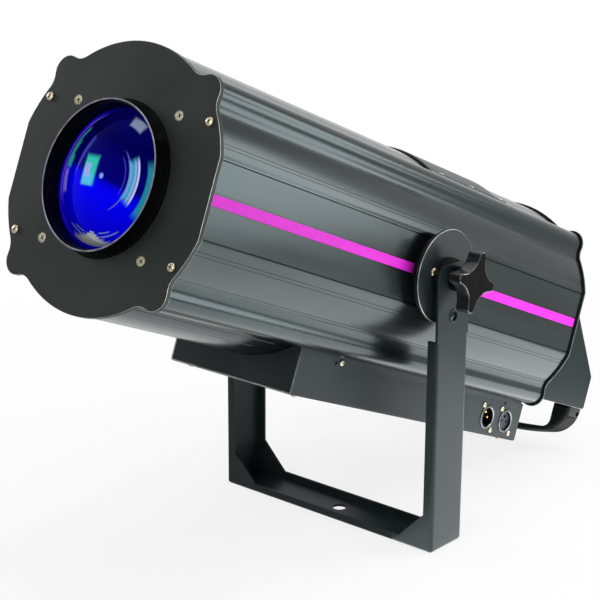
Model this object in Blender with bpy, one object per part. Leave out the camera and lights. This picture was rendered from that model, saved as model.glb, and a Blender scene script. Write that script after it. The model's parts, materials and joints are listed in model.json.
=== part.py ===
# Followspot: a long barrel that tilts in a folded U-shaped yoke.
# Metres, +Z up, the lens faces -Y and the grip is at +Y.
# The yoke stands on Z = 0. Barrel pieces are drawn in the barrel's own frame: Y = 0 is the
# front plate's front face, Z = 0 the optical axis.

import math

import bmesh
import bpy

# Clearances
SEAT_GAP = 0.0003
SCREW_CLEARANCE = 0.0003
SLIDING_CLEARANCE = 0.0002
CUT_OVERRUN = 0.002

# Segments of round shapes
LARGE_ROUND = 36
MEDIUM_ROUND = 24
SMALL_ROUND = 12
PIN_ROUND = 8
SIDE_ARC_STEPS = 2
FILLET_STEPS = 2
LOBE_STEPS = 5
TOP_ARC_STEPS = 3

# Stand and tilt
PIVOT_HEIGHT = 0.2500
REST_TILT_DEGREES = 22.24
YOKE_CENTRE_Y = 0.00963
PIVOT_FROM_FRONT = 0.3026
PIVOT_ABOVE_AXIS = 0.0015

# Yoke, folded from one sheet
YOKE_DEPTH = 0.0454
YOKE_SHEET = 0.0025
YOKE_BEND_RADIUS = 0.0030
ARM_FLANGE_WIDTH = 0.0104
ARM_FLANGE_TOP = 0.1965
BASE_FLANGE_HEIGHT = 0.00825
GUSSET_SIZE = 0.0264
ARM_ABOVE_PIVOT = 0.0135
ARM_CORNER_RADIUS = 0.0127
PIVOT_HOLE_RADIUS = 0.00525
LOCK_HOLE_DROP = 0.0335
LOCK_HOLE_RADIUS = 0.0045
LOCK_RIM_RADIUS = 0.0062
LOCK_RIM_HEIGHT = 0.0008
BASE_HOLE_RADIUS = 0.0067

# Cross-section of the barrel, at the front plate's edge
TOP_RADIUS = 0.1078
SIDE_RADIUS = 0.1106
FACET_X = 0.1061
LOBE_X = 0.0768
LOBE_Z = 0.0763
LOBE_RADIUS = 0.0131
LOBE_FILLET_RADIUS = 0.0157

# Extruded housing
HOUSING_LENGTH = 0.5517
HOUSING_INSET = 0.0013
HOUSING_WALL = 0.0025
PORT_RADIUS = 0.0055
STRIPE_WIDTH = 0.0100
STRIPE_THICKNESS = 0.0006
STRIPE_CHANNEL_DEPTH = 0.0011

# Front plate and its screws
PLATE_THICKNESS = 0.0040
OUTER_SCREW_X = 0.0876
OUTER_SCREW_Z = 0.0545
INNER_SCREW_OFFSET = 0.0556
SCREW_RADIUS = 0.0017
SCREW_LENGTH = 0.0110
PAN_HEAD_RADIUS = 0.0036
PAN_HEAD_HEIGHT = 0.0023
PAN_CROWN_RADIUS = 0.0020
PAN_CROWN_DROP = 0.0003
PAN_EDGE_HEIGHT = 0.0006
SUNK_HEAD_RADIUS = 0.0036
SUNK_HEAD_DEPTH = 0.0021

# Lens tube, front lens and its ring
RIM_RADIUS = 0.0595
RIM_FORWARD = 0.0128
TUBE_RADIUS = 0.0622
TUBE_BORE_RADIUS = 0.0581
TUBE_LENGTH = 0.0600
TUBE_FLANGE_RADIUS = 0.0860
TUBE_FLANGE_THICKNESS = 0.0030
LENS_RADIUS = 0.0567
LENS_EDGE = 0.0040
LENS_CROWN = 0.0108
LENS_SEAT_Y = 0.0071
LENS_SEAT_WIDTH = 0.0042
LENS_SEAT_THICKNESS = 0.0025
RING_OPENING_RADIUS = 0.0523
RING_FRONT_Y = -0.0098
RING_LIP = 0.0008

# Pivot hardware on each side
DISC_RADIUS = 0.0410
DISC_THICKNESS = 0.0030
SPACER_RADIUS = 0.0355
SPACER_THICKNESS = 0.0074
WASHER_RADIUS = 0.0170
WASHER_THICKNESS = 0.0057
STUD_RADIUS = 0.0049
STUD_HEAD_RADIUS = 0.0090
STUD_HEAD_HEIGHT = 0.0045
STUD_THREAD_RADIUS = 0.0039
STUD_THREAD_LENGTH = 0.0150
DISC_SCREW_PITCH = 0.0207

# Star knob
KNOB_STAND_OFF = 0.0235
KNOB_THICKNESS = 0.0130
KNOB_HUB_RADIUS = 0.0110
KNOB_TIP_CENTRE = 0.0222
KNOB_TIP_RADIUS = 0.0046
KNOB_VALLEY_RADIUS = 0.0145
KNOB_EDGE = 0.0012
KNOB_TURN_DEGREES = 2.0

# Rear panel and its ears
PANEL_THICKNESS = 0.0040
PANEL_OVERHANG = 0.0019
EAR_X = 0.0888
EAR_SHEET = 0.0025
EAR_TOP_Z = 0.0418
EAR_CORNER_Z = -0.0455
EAR_BOTTOM_Z = -0.0805
EAR_REACH = 0.0880
EAR_CHAMFER = 0.0020
TAB_WIDTH = 0.0220
TAB_LENGTH = 0.0300

# Bridge grip
GRIP_HALF_WIDTH = 0.0882
GRIP_OPENING_HALF_WIDTH = 0.0682
GRIP_BOTTOM_Z = -0.1190
GRIP_OPENING_BOTTOM_Z = -0.1115
GRIP_DEPTH = 0.0260
GRIP_FROM_EAR_END = 0.0020
GRIP_CORNER_RADIUS = 0.0280
GRIP_INNER_CORNER_RADIUS = 0.0090
GRIP_CROWN_RADIUS = 0.2746
GRIP_INNER_CROWN_RADIUS = 0.4500
INLAY_THICKNESS = 0.0017
INLAY_MARGIN = 0.0045
INLAY_TOP_Z = -0.0920

# Top hatch
HATCH_FRONT = 0.3250
HATCH_LENGTH = 0.1150
HATCH_SHEET = 0.0018
HATCH_SHOULDER_THICKNESS = 0.0031
HATCH_RADIUS = TOP_RADIUS - HOUSING_INSET + SEAT_GAP + HATCH_SHEET
HATCH_HALF_WIDTH = 0.0675
HATCH_SHOULDER_Z = LOBE_Z + LOBE_RADIUS - HOUSING_INSET + SEAT_GAP + HATCH_SHOULDER_THICKNESS
HATCH_OPENING_HALF_WIDTH = 0.0450
HATCH_OPENING_LENGTH = 0.0900

# Electronics box
BOX_HALF_WIDTH = 0.0700
BOX_FRONT = 0.1930
BOX_LENGTH = 0.3670
BOX_BOTTOM_Z = -0.1286
BOX_SHEET = 0.0015

# Sockets on the box's right wall
SOCKET_RADIUS = 0.0118
SOCKET_IN_Y = 0.4994
SOCKET_OUT_Y = 0.5338
SOCKET_Z = -0.1110
SOCKET_DEPTH = 0.0200
SOCKET_LIP = 0.0010
SOCKET_FLANGE_WIDTH = 0.0260
SOCKET_FLANGE_HEIGHT = 0.0310
SOCKET_FLANGE_THICKNESS = 0.0020
CUP_RADIUS = 0.0094
CUP_DEPTH = 0.0130
PIN_CIRCLE_RADIUS = 0.0047
PIN_RADIUS = 0.0012
PIN_LENGTH = 0.0095
INSERT_RECESS = 0.0025

# Power inlet and switch on the box's left wall
INLET_Y = 0.5200
INLET_Z = -0.1095
INLET_FLANGE_WIDTH = 0.0500
INLET_FLANGE_HEIGHT = 0.0230
INLET_FLANGE_THICKNESS = 0.0022
INLET_BODY_WIDTH = 0.0272
INLET_BODY_HEIGHT = 0.0196
INLET_BODY_DEPTH = 0.0200
INLET_CAVITY_WIDTH = 0.0240
INLET_CAVITY_HEIGHT = 0.0160
INLET_CAVITY_DEPTH = 0.0150
BLADE_WIDTH = 0.0020
BLADE_HEIGHT = 0.0040
BLADE_SPACING = 0.0070
EARTH_RAISE = 0.0030
SWITCH_Y = 0.4700
SWITCH_WIDTH = 0.0190
SWITCH_HEIGHT = 0.0130
SWITCH_THICKNESS = 0.0080
SWITCH_PROUD = 0.0020
SWITCH_ROCK_DEGREES = 8.0
SWITCH_CLEARANCE = 0.0006

# Focus train
ROD_RADIUS = 0.0040
ROD_X = 0.0780
CARRIAGE_Y = 0.1500
CARRIAGE_THICKNESS = 0.0160
CARRIAGE_HALF_WIDTH = 0.0860
CARRIAGE_ARM_HALF_HEIGHT = 0.0100
CARRIAGE_HOOP_RADIUS = 0.0520
FOCUS_LENS_RADIUS = 0.0450
FOCUS_LENS_EDGE = 0.0035
FOCUS_LENS_CROWN = 0.0060
FOCUS_SEAT_WIDTH = 0.0030

# Aperture, iris and colour wheel
BULKHEAD_Y = 0.3300
BULKHEAD_THICKNESS = 0.0040
APERTURE_RADIUS = 0.0160
COLLAR_RADIUS = 0.0185
COLLAR_LENGTH = 0.0100
IRIS_RADIUS = 0.0250
IRIS_THICKNESS = 0.0060
IRIS_LEVER_RADIUS = 0.0360
IRIS_LEVER_HALF_WIDTH = 0.0030
WHEEL_AXIS_Z = -0.0420
WHEEL_RADIUS = 0.0560
WHEEL_THICKNESS = 0.0020
WHEEL_OFFSET = 0.0120
WHEEL_WINDOW_RADIUS = 0.0120
WHEEL_WINDOW_CIRCLE = 0.0420
WHEEL_WINDOWS = 8
WHEEL_HUB_RADIUS = 0.0080
MOTOR_SIZE = 0.0280
MOTOR_LENGTH = 0.0300
MOTOR_SHAFT_RADIUS = 0.0025

# Light engine
HEAT_SINK_FRONT = 0.4023
HEAT_SINK_SIZE = 0.1160
HEAT_SINK_LENGTH = 0.0900
HEAT_SINK_BASE = 0.0080
HEAT_SINK_SLOTS = 11
HEAT_SINK_FIN = 0.0030
MOUNT_BAR_HALF_HEIGHT = 0.0280
MOUNT_BAR_THICKNESS = 0.0050
LED_RADIUS = 0.0340
LED_BOARD_THICKNESS = 0.0030
LED_DOME_RADIUS = 0.0110
LED_DOME_HEIGHT = 0.0040
CONDENSER_RADIUS = 0.0305
CONDENSER_EDGE = 0.0040
CONDENSER_CROWN = 0.0100
HOLDER_LENGTH = 0.0260
HOLDER_STEP = 0.0150
HOLDER_STEP_WIDTH = 0.0025

# Fan
FAN_SIZE = 0.0920
FAN_DEPTH = 0.0250
FAN_Z = 0.0400
FAN_BORE_RADIUS = 0.0430
FAN_HUB_RADIUS = 0.0180
FAN_BLADE_RADIUS = 0.0415
FAN_BLADE_DEPTH = 0.0180
FAN_BLADES = 7
FAN_BLADE_TWIST_DEGREES = 38.0
FAN_BLADE_ROOT_THICKNESS = 0.0018
FAN_BLADE_TIP_THICKNESS = 0.0021
FAN_BLADE_LAYERS = 5
FAN_STRUT_THICKNESS = 0.0030
FAN_STRUT_WIDTH = 0.0040
GRILLE_RADIUS = 0.0410
GRILLE_SLOTS = 9
GRILLE_SLOT_HEIGHT = 0.0060

# Control panel at the rear
DISPLAY_X = -0.0200
DISPLAY_Z = -0.0480
DISPLAY_WIDTH = 0.0560
DISPLAY_HEIGHT = 0.0280
DISPLAY_BEZEL = 0.0030
DISPLAY_BEZEL_DEPTH = 0.0050
BOARD_WIDTH = 0.1160
BOARD_HEIGHT = 0.0420
BOARD_THICKNESS = 0.0016
BOARD_CENTRE_X = 0.0040
BUTTON_RADIUS = 0.0048
BUTTON_PROUD = 0.0022
BUTTON_EDGE = 0.0005
BUTTON_FLANGE_RADIUS = 0.0060
BUTTON_FLANGE_THICKNESS = 0.0012
BUTTON_COLUMNS = (0.0270, 0.0450)
BUTTON_ROWS = (-0.0400, -0.0560)

# Power supply
SUPPLY_FRONT = 0.2080
SUPPLY_LENGTH = 0.1150
SUPPLY_WIDTH = 0.0860
SUPPLY_HEIGHT = 0.0300
SUPPLY_WELL_MARGIN = 0.0020

# Places that follow from the sizes above
HOUSING_FRONT = PLATE_THICKNESS + SEAT_GAP
HOUSING_BACK = HOUSING_FRONT + HOUSING_LENGTH
PANEL_FRONT = HOUSING_BACK + SEAT_GAP
PANEL_BACK = PANEL_FRONT + PANEL_THICKNESS
HOUSING_FACET_X = FACET_X - HOUSING_INSET
INNER_FACET_X = HOUSING_FACET_X - HOUSING_WALL
SPACER_FACE_X = HOUSING_FACET_X + SEAT_GAP + SPACER_THICKNESS
DISC_BACK_X = SPACER_FACE_X + SEAT_GAP
DISC_FACE_X = DISC_BACK_X + DISC_THICKNESS
ARM_BACK_X = DISC_FACE_X + SEAT_GAP + WASHER_THICKNESS + SEAT_GAP
ARM_FACE_X = ARM_BACK_X + YOKE_SHEET
YOKE_WIDTH = 2 * ARM_FACE_X
KNOB_FACE_X = ARM_FACE_X + KNOB_STAND_OFF
TUBE_BACK = HOUSING_FRONT + TUBE_LENGTH
EAR_BACK = PANEL_FRONT + PANEL_THICKNESS + EAR_REACH
GRIP_BACK = EAR_BACK - GRIP_FROM_EAR_END
GRIP_FRONT = GRIP_BACK - GRIP_DEPTH
GRIP_TOP_Z = EAR_BOTTOM_Z - SEAT_GAP
SIDES = (("right", 1), ("left", -1))


# Outlines

def polar(radius, angle, centre=(0, 0)):
    return (centre[0] + radius * math.cos(angle), centre[1] + radius * math.sin(angle))


def circle(radius, steps, centre=(0, 0)):
    return [polar(radius, 2 * math.pi * step / steps, centre) for step in range(steps)]


def arc(centre, radius, start, end, steps):
    """Points from start to end, the short way round."""
    sweep = math.remainder(end - start, 2 * math.pi)
    return [polar(radius, start + sweep * step / steps, centre) for step in range(steps + 1)]


def heading(origin, target):
    return math.atan2(target[1] - origin[1], target[0] - origin[0])


def rectangle(width, height, centre=(0, 0)):
    x, z = centre
    return [(x - width / 2, z - height / 2), (x + width / 2, z - height / 2),
            (x + width / 2, z + height / 2), (x - width / 2, z + height / 2)]


def fillet_centre(arc_radius, side):
    """Centre of the fillet that touches a barrel arc and the lobe from outside."""
    reach = math.hypot(LOBE_X, LOBE_Z)
    distance = arc_radius + LOBE_FILLET_RADIUS
    touch = LOBE_RADIUS + LOBE_FILLET_RADIUS
    spread = math.acos((distance ** 2 + reach ** 2 - touch ** 2) / (2 * distance * reach))
    return polar(distance, math.atan2(LOBE_Z, LOBE_X) + side * spread)


def barrel_quarter(inset):
    """From the side facet's corner over the lobe to the top of the barrel."""
    lobe = (LOBE_X, LOBE_Z)
    low = fillet_centre(SIDE_RADIUS, -1)
    high = fillet_centre(TOP_RADIUS, 1)
    fillet = LOBE_FILLET_RADIUS + inset
    facet = FACET_X - inset
    corner = math.acos(facet / (SIDE_RADIUS - inset))
    low_angle = heading((0, 0), low)
    high_angle = heading((0, 0), high)
    points = arc((0, 0), SIDE_RADIUS - inset, corner, low_angle, SIDE_ARC_STEPS)
    points += arc(low, fillet, low_angle + math.pi, heading(low, lobe), FILLET_STEPS)[1:]
    points += arc(lobe, LOBE_RADIUS - inset, heading(lobe, low), heading(lobe, high), LOBE_STEPS)[1:]
    points += arc(high, fillet, heading(high, lobe), high_angle + math.pi, FILLET_STEPS)[1:]
    points += arc((0, 0), TOP_RADIUS - inset, high_angle, math.pi / 2, TOP_ARC_STEPS)[1:]
    return points


def barrel_outline(inset, channel_width=0, channel_depth=0):
    """The whole cross-section; a channel may run along the middle of each side facet."""
    quarter = barrel_quarter(inset)
    back = quarter[-2::-1]
    left = [(-x, z) for x, z in back]
    right = [(x, -z) for x, z in back]
    notch = []
    if channel_width:
        edge = FACET_X - inset
        half = channel_width / 2
        notch = [(edge, -half), (edge - channel_depth, -half),
                 (edge - channel_depth, half), (edge, half)]
    left_notch = [(-x, -z) for x, z in notch]
    return quarter + left + left_notch + [(-x, -z) for x, z in quarter] + right + notch


def grip_outline(half_width, top, bottom, corner, crown):
    """A leg, a round corner and a slightly crowned bar, from right to left."""
    crown_z = bottom + crown
    corner_x = half_width - corner
    corner_z = crown_z - math.sqrt((crown - corner) ** 2 - corner_x ** 2)
    touch = heading((0, crown_z), (corner_x, corner_z))
    points = [(half_width, top)]
    points += arc((corner_x, corner_z), corner, 0, touch, 6)
    points += arc((0, crown_z), crown, touch, -math.pi / 2, 3)[1:]
    return points + [(-x, z) for x, z in points[-2::-1]]


# Solids

def place(a, b, along, axis):
    if axis == "x":
        return (along, a, b)
    if axis == "y":
        return (a, along, b)
    return (a, b, along)


def add_prism(bm, outline, start, end, axis="y"):
    near = [bm.verts.new(place(a, b, start, axis)) for a, b in outline]
    far = [bm.verts.new(place(a, b, end, axis)) for a, b in outline]
    bm.faces.new(near)
    bm.faces.new(far)
    for index, corner in enumerate(near):
        following = (index + 1) % len(near)
        bm.faces.new((corner, near[following], far[following], far[index]))


def add_turned(bm, profile, axis="y", steps=MEDIUM_ROUND, centre=(0, 0)):
    """A closed profile of (radius, along) points, turned about an axis."""
    rings = []
    for radius, along in profile:
        if radius == 0:
            rings.append([bm.verts.new(place(centre[0], centre[1], along, axis))] * steps)
        else:
            ring = circle(radius, steps, centre)
            rings.append([bm.verts.new(place(a, b, along, axis)) for a, b in ring])
    for index, ring in enumerate(rings):
        after = rings[(index + 1) % len(rings)]
        for step in range(steps):
            turn = (step + 1) % steps
            corners = list(dict.fromkeys((ring[step], ring[turn], after[turn], after[step])))
            if len(corners) > 2:
                bm.faces.new(corners)


def new_material(name, colour, roughness, metallic=0.0):
    look = bpy.data.materials.new(name)
    look.use_nodes = True
    shader = look.node_tree.nodes["Principled BSDF"]
    shader.inputs["Base Color"].default_value = (*colour, 1.0)
    shader.inputs["Roughness"].default_value = roughness
    shader.inputs["Metallic"].default_value = metallic
    return look


def add_object(name, bm, look, parent, location=(0, 0, 0)):
    bmesh.ops.recalc_face_normals(bm, faces=bm.faces)
    mesh = bpy.data.meshes.new(name)
    bm.to_mesh(mesh)
    bm.free()
    mesh.shade_smooth()
    mesh.set_sharp_from_angle(angle=math.radians(30))
    if look:
        mesh.materials.append(look)
    return link_object(name, mesh, parent, location)


def link_object(name, mesh, parent, location=(0, 0, 0)):
    obj = bpy.data.objects.new(name, mesh)
    bpy.context.collection.objects.link(obj)
    obj.parent = parent
    obj.location = location
    return obj


def prism_object(name, outline, start, end, look, parent, axis="y"):
    bm = bmesh.new()
    add_prism(bm, outline, start, end, axis)
    return add_object(name, bm, look, parent)


def turned_object(name, profile, look, parent, axis="y", steps=MEDIUM_ROUND, centre=(0, 0)):
    bm = bmesh.new()
    add_turned(bm, profile, axis, steps, centre)
    return add_object(name, bm, look, parent)


def combine(target, bm, operation, label):
    """Cut, join or intersect a hidden solid with the target."""
    helper = add_object(target.name + "_" + label, bm, None, target.parent, target.location)
    helper.hide_render = True
    helper.display_type = "WIRE"
    modifier = target.modifiers.new(label, "BOOLEAN")
    modifier.operation = operation
    modifier.solver = "EXACT"
    modifier.object = helper
    return helper


def prisms(outlines, start, end, axis="y"):
    bm = bmesh.new()
    for outline in outlines:
        add_prism(bm, outline, start, end, axis)
    return bm


def cut_prisms(target, label, outlines, start, end, axis="y"):
    return combine(target, prisms(outlines, start, end, axis), "DIFFERENCE", label)


def join_prisms(target, label, outlines, start, end, axis="y"):
    return combine(target, prisms(outlines, start, end, axis), "UNION", label)


def corners_of(x, z):
    """The four mirrored places of one point."""
    return [(x, z), (-x, z), (-x, -z), (x, -z)]


# Stand

def make_yoke(stand, look):
    """Web, flanges and gussets of one folded sheet, symmetric about its centre."""
    top = PIVOT_HEIGHT + ARM_ABOVE_PIVOT
    half = ARM_FACE_X
    web = ARM_BACK_X
    inner = half - ARM_FLANGE_WIDTH
    bend = (half - YOKE_BEND_RADIUS, YOKE_BEND_RADIUS)
    side = [(web, top), (web, ARM_FLANGE_TOP), (inner, ARM_FLANGE_TOP),
            (inner, BASE_FLANGE_HEIGHT + GUSSET_SIZE), (inner - GUSSET_SIZE, BASE_FLANGE_HEIGHT)]
    outer = [(half, top)] + arc(bend, YOKE_BEND_RADIUS, 0, -math.pi / 2, 4)
    outline = outer + [(-x, z) for x, z in reversed(outer)]
    outline += [(-x, z) for x, z in side] + list(reversed(side))
    yoke = prism_object("yoke", outline, -YOKE_DEPTH / 2, YOKE_DEPTH / 2, look, stand)

    pocket_depth = YOKE_DEPTH - 2 * YOKE_SHEET
    pocket_top = top + CUT_OVERRUN
    pocket = [(-web, YOKE_SHEET), (web, YOKE_SHEET), (web, pocket_top), (-web, pocket_top)]
    cut_prisms(yoke, "pocket", [pocket], -pocket_depth / 2, pocket_depth / 2)

    corner_y = YOKE_DEPTH / 2 - ARM_CORNER_RADIUS
    corner_z = top - ARM_CORNER_RADIUS
    rounded = arc((corner_y, corner_z), ARM_CORNER_RADIUS, 0, math.pi / 2, 6)
    arm = rounded + [(-y, z) for y, z in reversed(rounded)]
    arm += [(-YOKE_DEPTH, corner_z), (-YOKE_DEPTH, -CUT_OVERRUN)]
    arm += [(YOKE_DEPTH, -CUT_OVERRUN), (YOKE_DEPTH, corner_z)]
    combine(yoke, prisms([arm], -YOKE_WIDTH, YOKE_WIDTH, "x"), "INTERSECT", "arm_tops")

    rims = bmesh.new()
    lock_z = PIVOT_HEIGHT - LOCK_HOLE_DROP
    rim_x = half + LOCK_RIM_HEIGHT
    for _, sign in SIDES:
        start, end = sorted((sign * (half - YOKE_SHEET / 2), sign * rim_x))
        add_prism(rims, circle(LOCK_RIM_RADIUS, MEDIUM_ROUND, (0, lock_z)), start, end, "x")
    combine(yoke, rims, "UNION", "lock_rims")

    holes = [circle(PIVOT_HOLE_RADIUS, MEDIUM_ROUND, (0, PIVOT_HEIGHT)),
             circle(LOCK_HOLE_RADIUS, MEDIUM_ROUND, (0, lock_z))]
    cut_prisms(yoke, "arm_holes", holes, -YOKE_WIDTH, YOKE_WIDTH, "x")
    base = [circle(BASE_HOLE_RADIUS, MEDIUM_ROUND)]
    cut_prisms(yoke, "base_hole", base, -CUT_OVERRUN, YOKE_SHEET + CUT_OVERRUN, "z")


# Barrel shell

def make_housing(barrel, look):
    """Extruded tube with lobed corners, screw ports, stripe channels and openings."""
    channel = STRIPE_WIDTH + 2 * SEAT_GAP
    outline = barrel_outline(HOUSING_INSET, channel, STRIPE_CHANNEL_DEPTH)
    housing = prism_object("housing", outline, HOUSING_FRONT, HOUSING_BACK, look, barrel)

    start = HOUSING_FRONT - CUT_OVERRUN
    end = HOUSING_BACK + CUT_OVERRUN
    bore = cut_prisms(housing, "bore", [barrel_outline(HOUSING_INSET + HOUSING_WALL)], start, end)
    ports = [circle(PORT_RADIUS, SMALL_ROUND, centre) for centre in corners_of(OUTER_SCREW_X, OUTER_SCREW_Z)]
    cut_prisms(bore, "ports", ports, start - CUT_OVERRUN, end + CUT_OVERRUN)

    hole = SCREW_RADIUS + SCREW_CLEARANCE
    threads = [circle(hole, SMALL_ROUND, centre) for centre in corners_of(OUTER_SCREW_X, OUTER_SCREW_Z)]
    cut_prisms(housing, "port_holes", threads, start, end)

    middle = HATCH_FRONT + HATCH_LENGTH / 2
    opening = rectangle(2 * HATCH_OPENING_HALF_WIDTH, HATCH_OPENING_LENGTH, (0, middle))
    cut_prisms(housing, "hatch_opening", [opening], 0, TOP_RADIUS + CUT_OVERRUN, "z")

    well = rectangle(SUPPLY_WIDTH + 2 * SUPPLY_WELL_MARGIN, SUPPLY_LENGTH + 2 * SUPPLY_WELL_MARGIN,
                     (0, SUPPLY_FRONT + SUPPLY_LENGTH / 2))
    cut_prisms(housing, "supply_well", [well], -TOP_RADIUS - CUT_OVERRUN, 0, "z")


def make_stripes(barrel, look):
    half = STRIPE_WIDTH / 2
    back_x = HOUSING_FACET_X - STRIPE_CHANNEL_DEPTH + SEAT_GAP
    for side, sign in SIDES:
        near, far = sorted((sign * back_x, sign * (back_x + STRIPE_THICKNESS)))
        outline = [(near, -half), (far, -half), (far, half), (near, half)]
        prism_object("stripe_" + side, outline, HOUSING_FRONT, HOUSING_BACK, look, barrel)


def make_front_plate(barrel, look):
    plate = prism_object("front_plate", barrel_outline(0), 0, PLATE_THICKNESS, look, barrel)
    start = -CUT_OVERRUN
    end = PLATE_THICKNESS + CUT_OVERRUN
    hole = SCREW_RADIUS + SCREW_CLEARANCE
    outlines = [circle(TUBE_RADIUS + SEAT_GAP, LARGE_ROUND)]
    outlines += [circle(hole, SMALL_ROUND, centre) for centre in corners_of(OUTER_SCREW_X, OUTER_SCREW_Z)]
    cut_prisms(plate, "through_holes", outlines, start, end)
    sinks = bmesh.new()
    for centre in corners_of(INNER_SCREW_OFFSET, INNER_SCREW_OFFSET):
        mouth = SUNK_HEAD_RADIUS + SCREW_CLEARANCE
        depth = SUNK_HEAD_DEPTH + SCREW_CLEARANCE
        add_turned(sinks, [(0, start), (mouth, start), (mouth, 0), (hole, depth), (hole, end),
                           (0, end)], steps=SMALL_ROUND, centre=centre)
    combine(plate, sinks, "DIFFERENCE", "countersinks")


def make_plate_screws(barrel, look):
    """Four pan heads outside, and four countersunk heads in the lens tube's flange."""
    dome = PAN_HEAD_HEIGHT + SEAT_GAP
    pan = bmesh.new()
    add_turned(pan, [(0, -dome), (PAN_CROWN_RADIUS, -dome + PAN_CROWN_DROP),
                     (PAN_HEAD_RADIUS, -SEAT_GAP - PAN_EDGE_HEIGHT), (PAN_HEAD_RADIUS, -SEAT_GAP),
                     (SCREW_RADIUS, -SEAT_GAP), (SCREW_RADIUS, SCREW_LENGTH), (0, SCREW_LENGTH)],
               steps=SMALL_ROUND)
    first = add_object("plate_screw_1", pan, look, barrel)
    place_copies(first, corners_of(OUTER_SCREW_X, OUTER_SCREW_Z))
    sunk = bmesh.new()
    end = HOUSING_FRONT + TUBE_FLANGE_THICKNESS
    add_turned(sunk, [(0, 0), (SUNK_HEAD_RADIUS, 0), (SCREW_RADIUS, SUNK_HEAD_DEPTH),
                      (SCREW_RADIUS, end), (0, end)], steps=SMALL_ROUND)
    first = add_object("lens_screw_1", sunk, look, barrel)
    place_copies(first, corners_of(INNER_SCREW_OFFSET, INNER_SCREW_OFFSET))


def place_copies(first, centres):
    """Put the first piece at the first centre, and one numbered copy at each other centre."""
    stem = first.name[:-1]
    first.location = (centres[0][0], 0, centres[0][1])
    for number, (x, z) in enumerate(centres[1:], 2):
        link_object(stem + str(number), first.data, first.parent, (x, 0, z))


def make_lens_tube(barrel, look):
    """Turned tube: conical nose, flange behind the plate, and a seat for the front lens."""
    flange_back = HOUSING_FRONT + TUBE_FLANGE_THICKNESS
    seat_back = LENS_SEAT_Y + LENS_SEAT_THICKNESS
    opening = TUBE_BORE_RADIUS - LENS_SEAT_WIDTH
    profile = [(RIM_RADIUS, -RIM_FORWARD), (TUBE_RADIUS, 0), (TUBE_RADIUS, HOUSING_FRONT),
               (TUBE_FLANGE_RADIUS, HOUSING_FRONT), (TUBE_FLANGE_RADIUS, flange_back),
               (TUBE_RADIUS, flange_back), (TUBE_RADIUS, TUBE_BACK), (TUBE_BORE_RADIUS, TUBE_BACK),
               (TUBE_BORE_RADIUS, seat_back), (opening, seat_back), (opening, LENS_SEAT_Y),
               (TUBE_BORE_RADIUS, LENS_SEAT_Y), (TUBE_BORE_RADIUS, -RIM_FORWARD)]
    tube = turned_object("lens_tube", profile, look, barrel, steps=LARGE_ROUND)
    hole = SCREW_RADIUS + SCREW_CLEARANCE
    holes = [circle(hole, SMALL_ROUND, centre)
             for centre in corners_of(INNER_SCREW_OFFSET, INNER_SCREW_OFFSET)]
    holes += [circle(ROD_RADIUS + SLIDING_CLEARANCE, SMALL_ROUND, (sign * ROD_X, 0)) for _, sign in SIDES]
    cut_prisms(tube, "flange_holes", holes, HOUSING_FRONT - CUT_OVERRUN, flange_back + CUT_OVERRUN)


def lens_face(radius, crown, edge_y, towards, steps=5):
    """Half a spherical face, from the edge in to the axis; towards is -1 or +1 along Y."""
    sphere = (radius ** 2 + crown ** 2) / (2 * crown)
    spread = math.asin(radius / sphere)
    points = []
    for step in range(steps + 1):
        angle = spread * (1 - step / steps)
        rise = sphere * math.cos(angle) - (sphere - crown)
        points.append((sphere * math.sin(angle), edge_y + towards * rise))
    points[0] = (radius, edge_y)
    points[-1] = (0, edge_y + towards * crown)
    return points


def make_front_lens(barrel, look):
    back = LENS_SEAT_Y - SEAT_GAP
    profile = lens_face(LENS_RADIUS, LENS_CROWN, back - LENS_EDGE, -1)
    turned_object("front_lens", profile + [(0, back), (LENS_RADIUS, back)], look, barrel, steps=LARGE_ROUND)


def make_lens_ring(barrel, look):
    """Black bevelled ring that presses on the lens and reaches out to the rim."""
    outer = TUBE_BORE_RADIUS - SLIDING_CLEARANCE
    edge_y = LENS_SEAT_Y - SEAT_GAP - LENS_EDGE
    sphere = (LENS_RADIUS ** 2 + LENS_CROWN ** 2) / (2 * LENS_CROWN)
    face = [(radius, edge_y - (math.sqrt(sphere ** 2 - radius ** 2) - (sphere - LENS_CROWN))
             - SEAT_GAP) for radius in (RING_OPENING_RADIUS, LENS_RADIUS)]
    profile = [(RING_OPENING_RADIUS, face[0][1] - RING_LIP), (outer - RING_LIP, RING_FRONT_Y),
               (outer, RING_FRONT_Y), (outer, face[1][1]), face[1], face[0]]
    turned_object("lens_ring", profile, look, barrel, steps=LARGE_ROUND)


def make_top_hatch(barrel, look):
    """Curved cover with flat shoulders, seated on the housing along its whole width."""
    inset = HOUSING_INSET - SEAT_GAP
    quarter = barrel_quarter(inset)
    under = [(x, z) for x, z in quarter if z > LOBE_Z and x < HATCH_HALF_WIDTH]
    before = quarter[len(quarter) - len(under) - 1]
    blend = (before[0] - HATCH_HALF_WIDTH) / (before[0] - under[0][0])
    edge = (HATCH_HALF_WIDTH, before[1] + blend * (under[0][1] - before[1]))
    shoulder = math.asin(HATCH_SHOULDER_Z / HATCH_RADIUS)
    over = arc((0, 0), HATCH_RADIUS, math.pi / 2, shoulder, 6)
    half = over[1:] + [(HATCH_HALF_WIDTH, HATCH_SHOULDER_Z), edge] + under[:-1]
    outline = [over[0]] + half + [under[-1]] + [(-x, z) for x, z in reversed(half)]
    prism_object("top_hatch", outline, HATCH_FRONT, HATCH_FRONT + HATCH_LENGTH, look, barrel)


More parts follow.
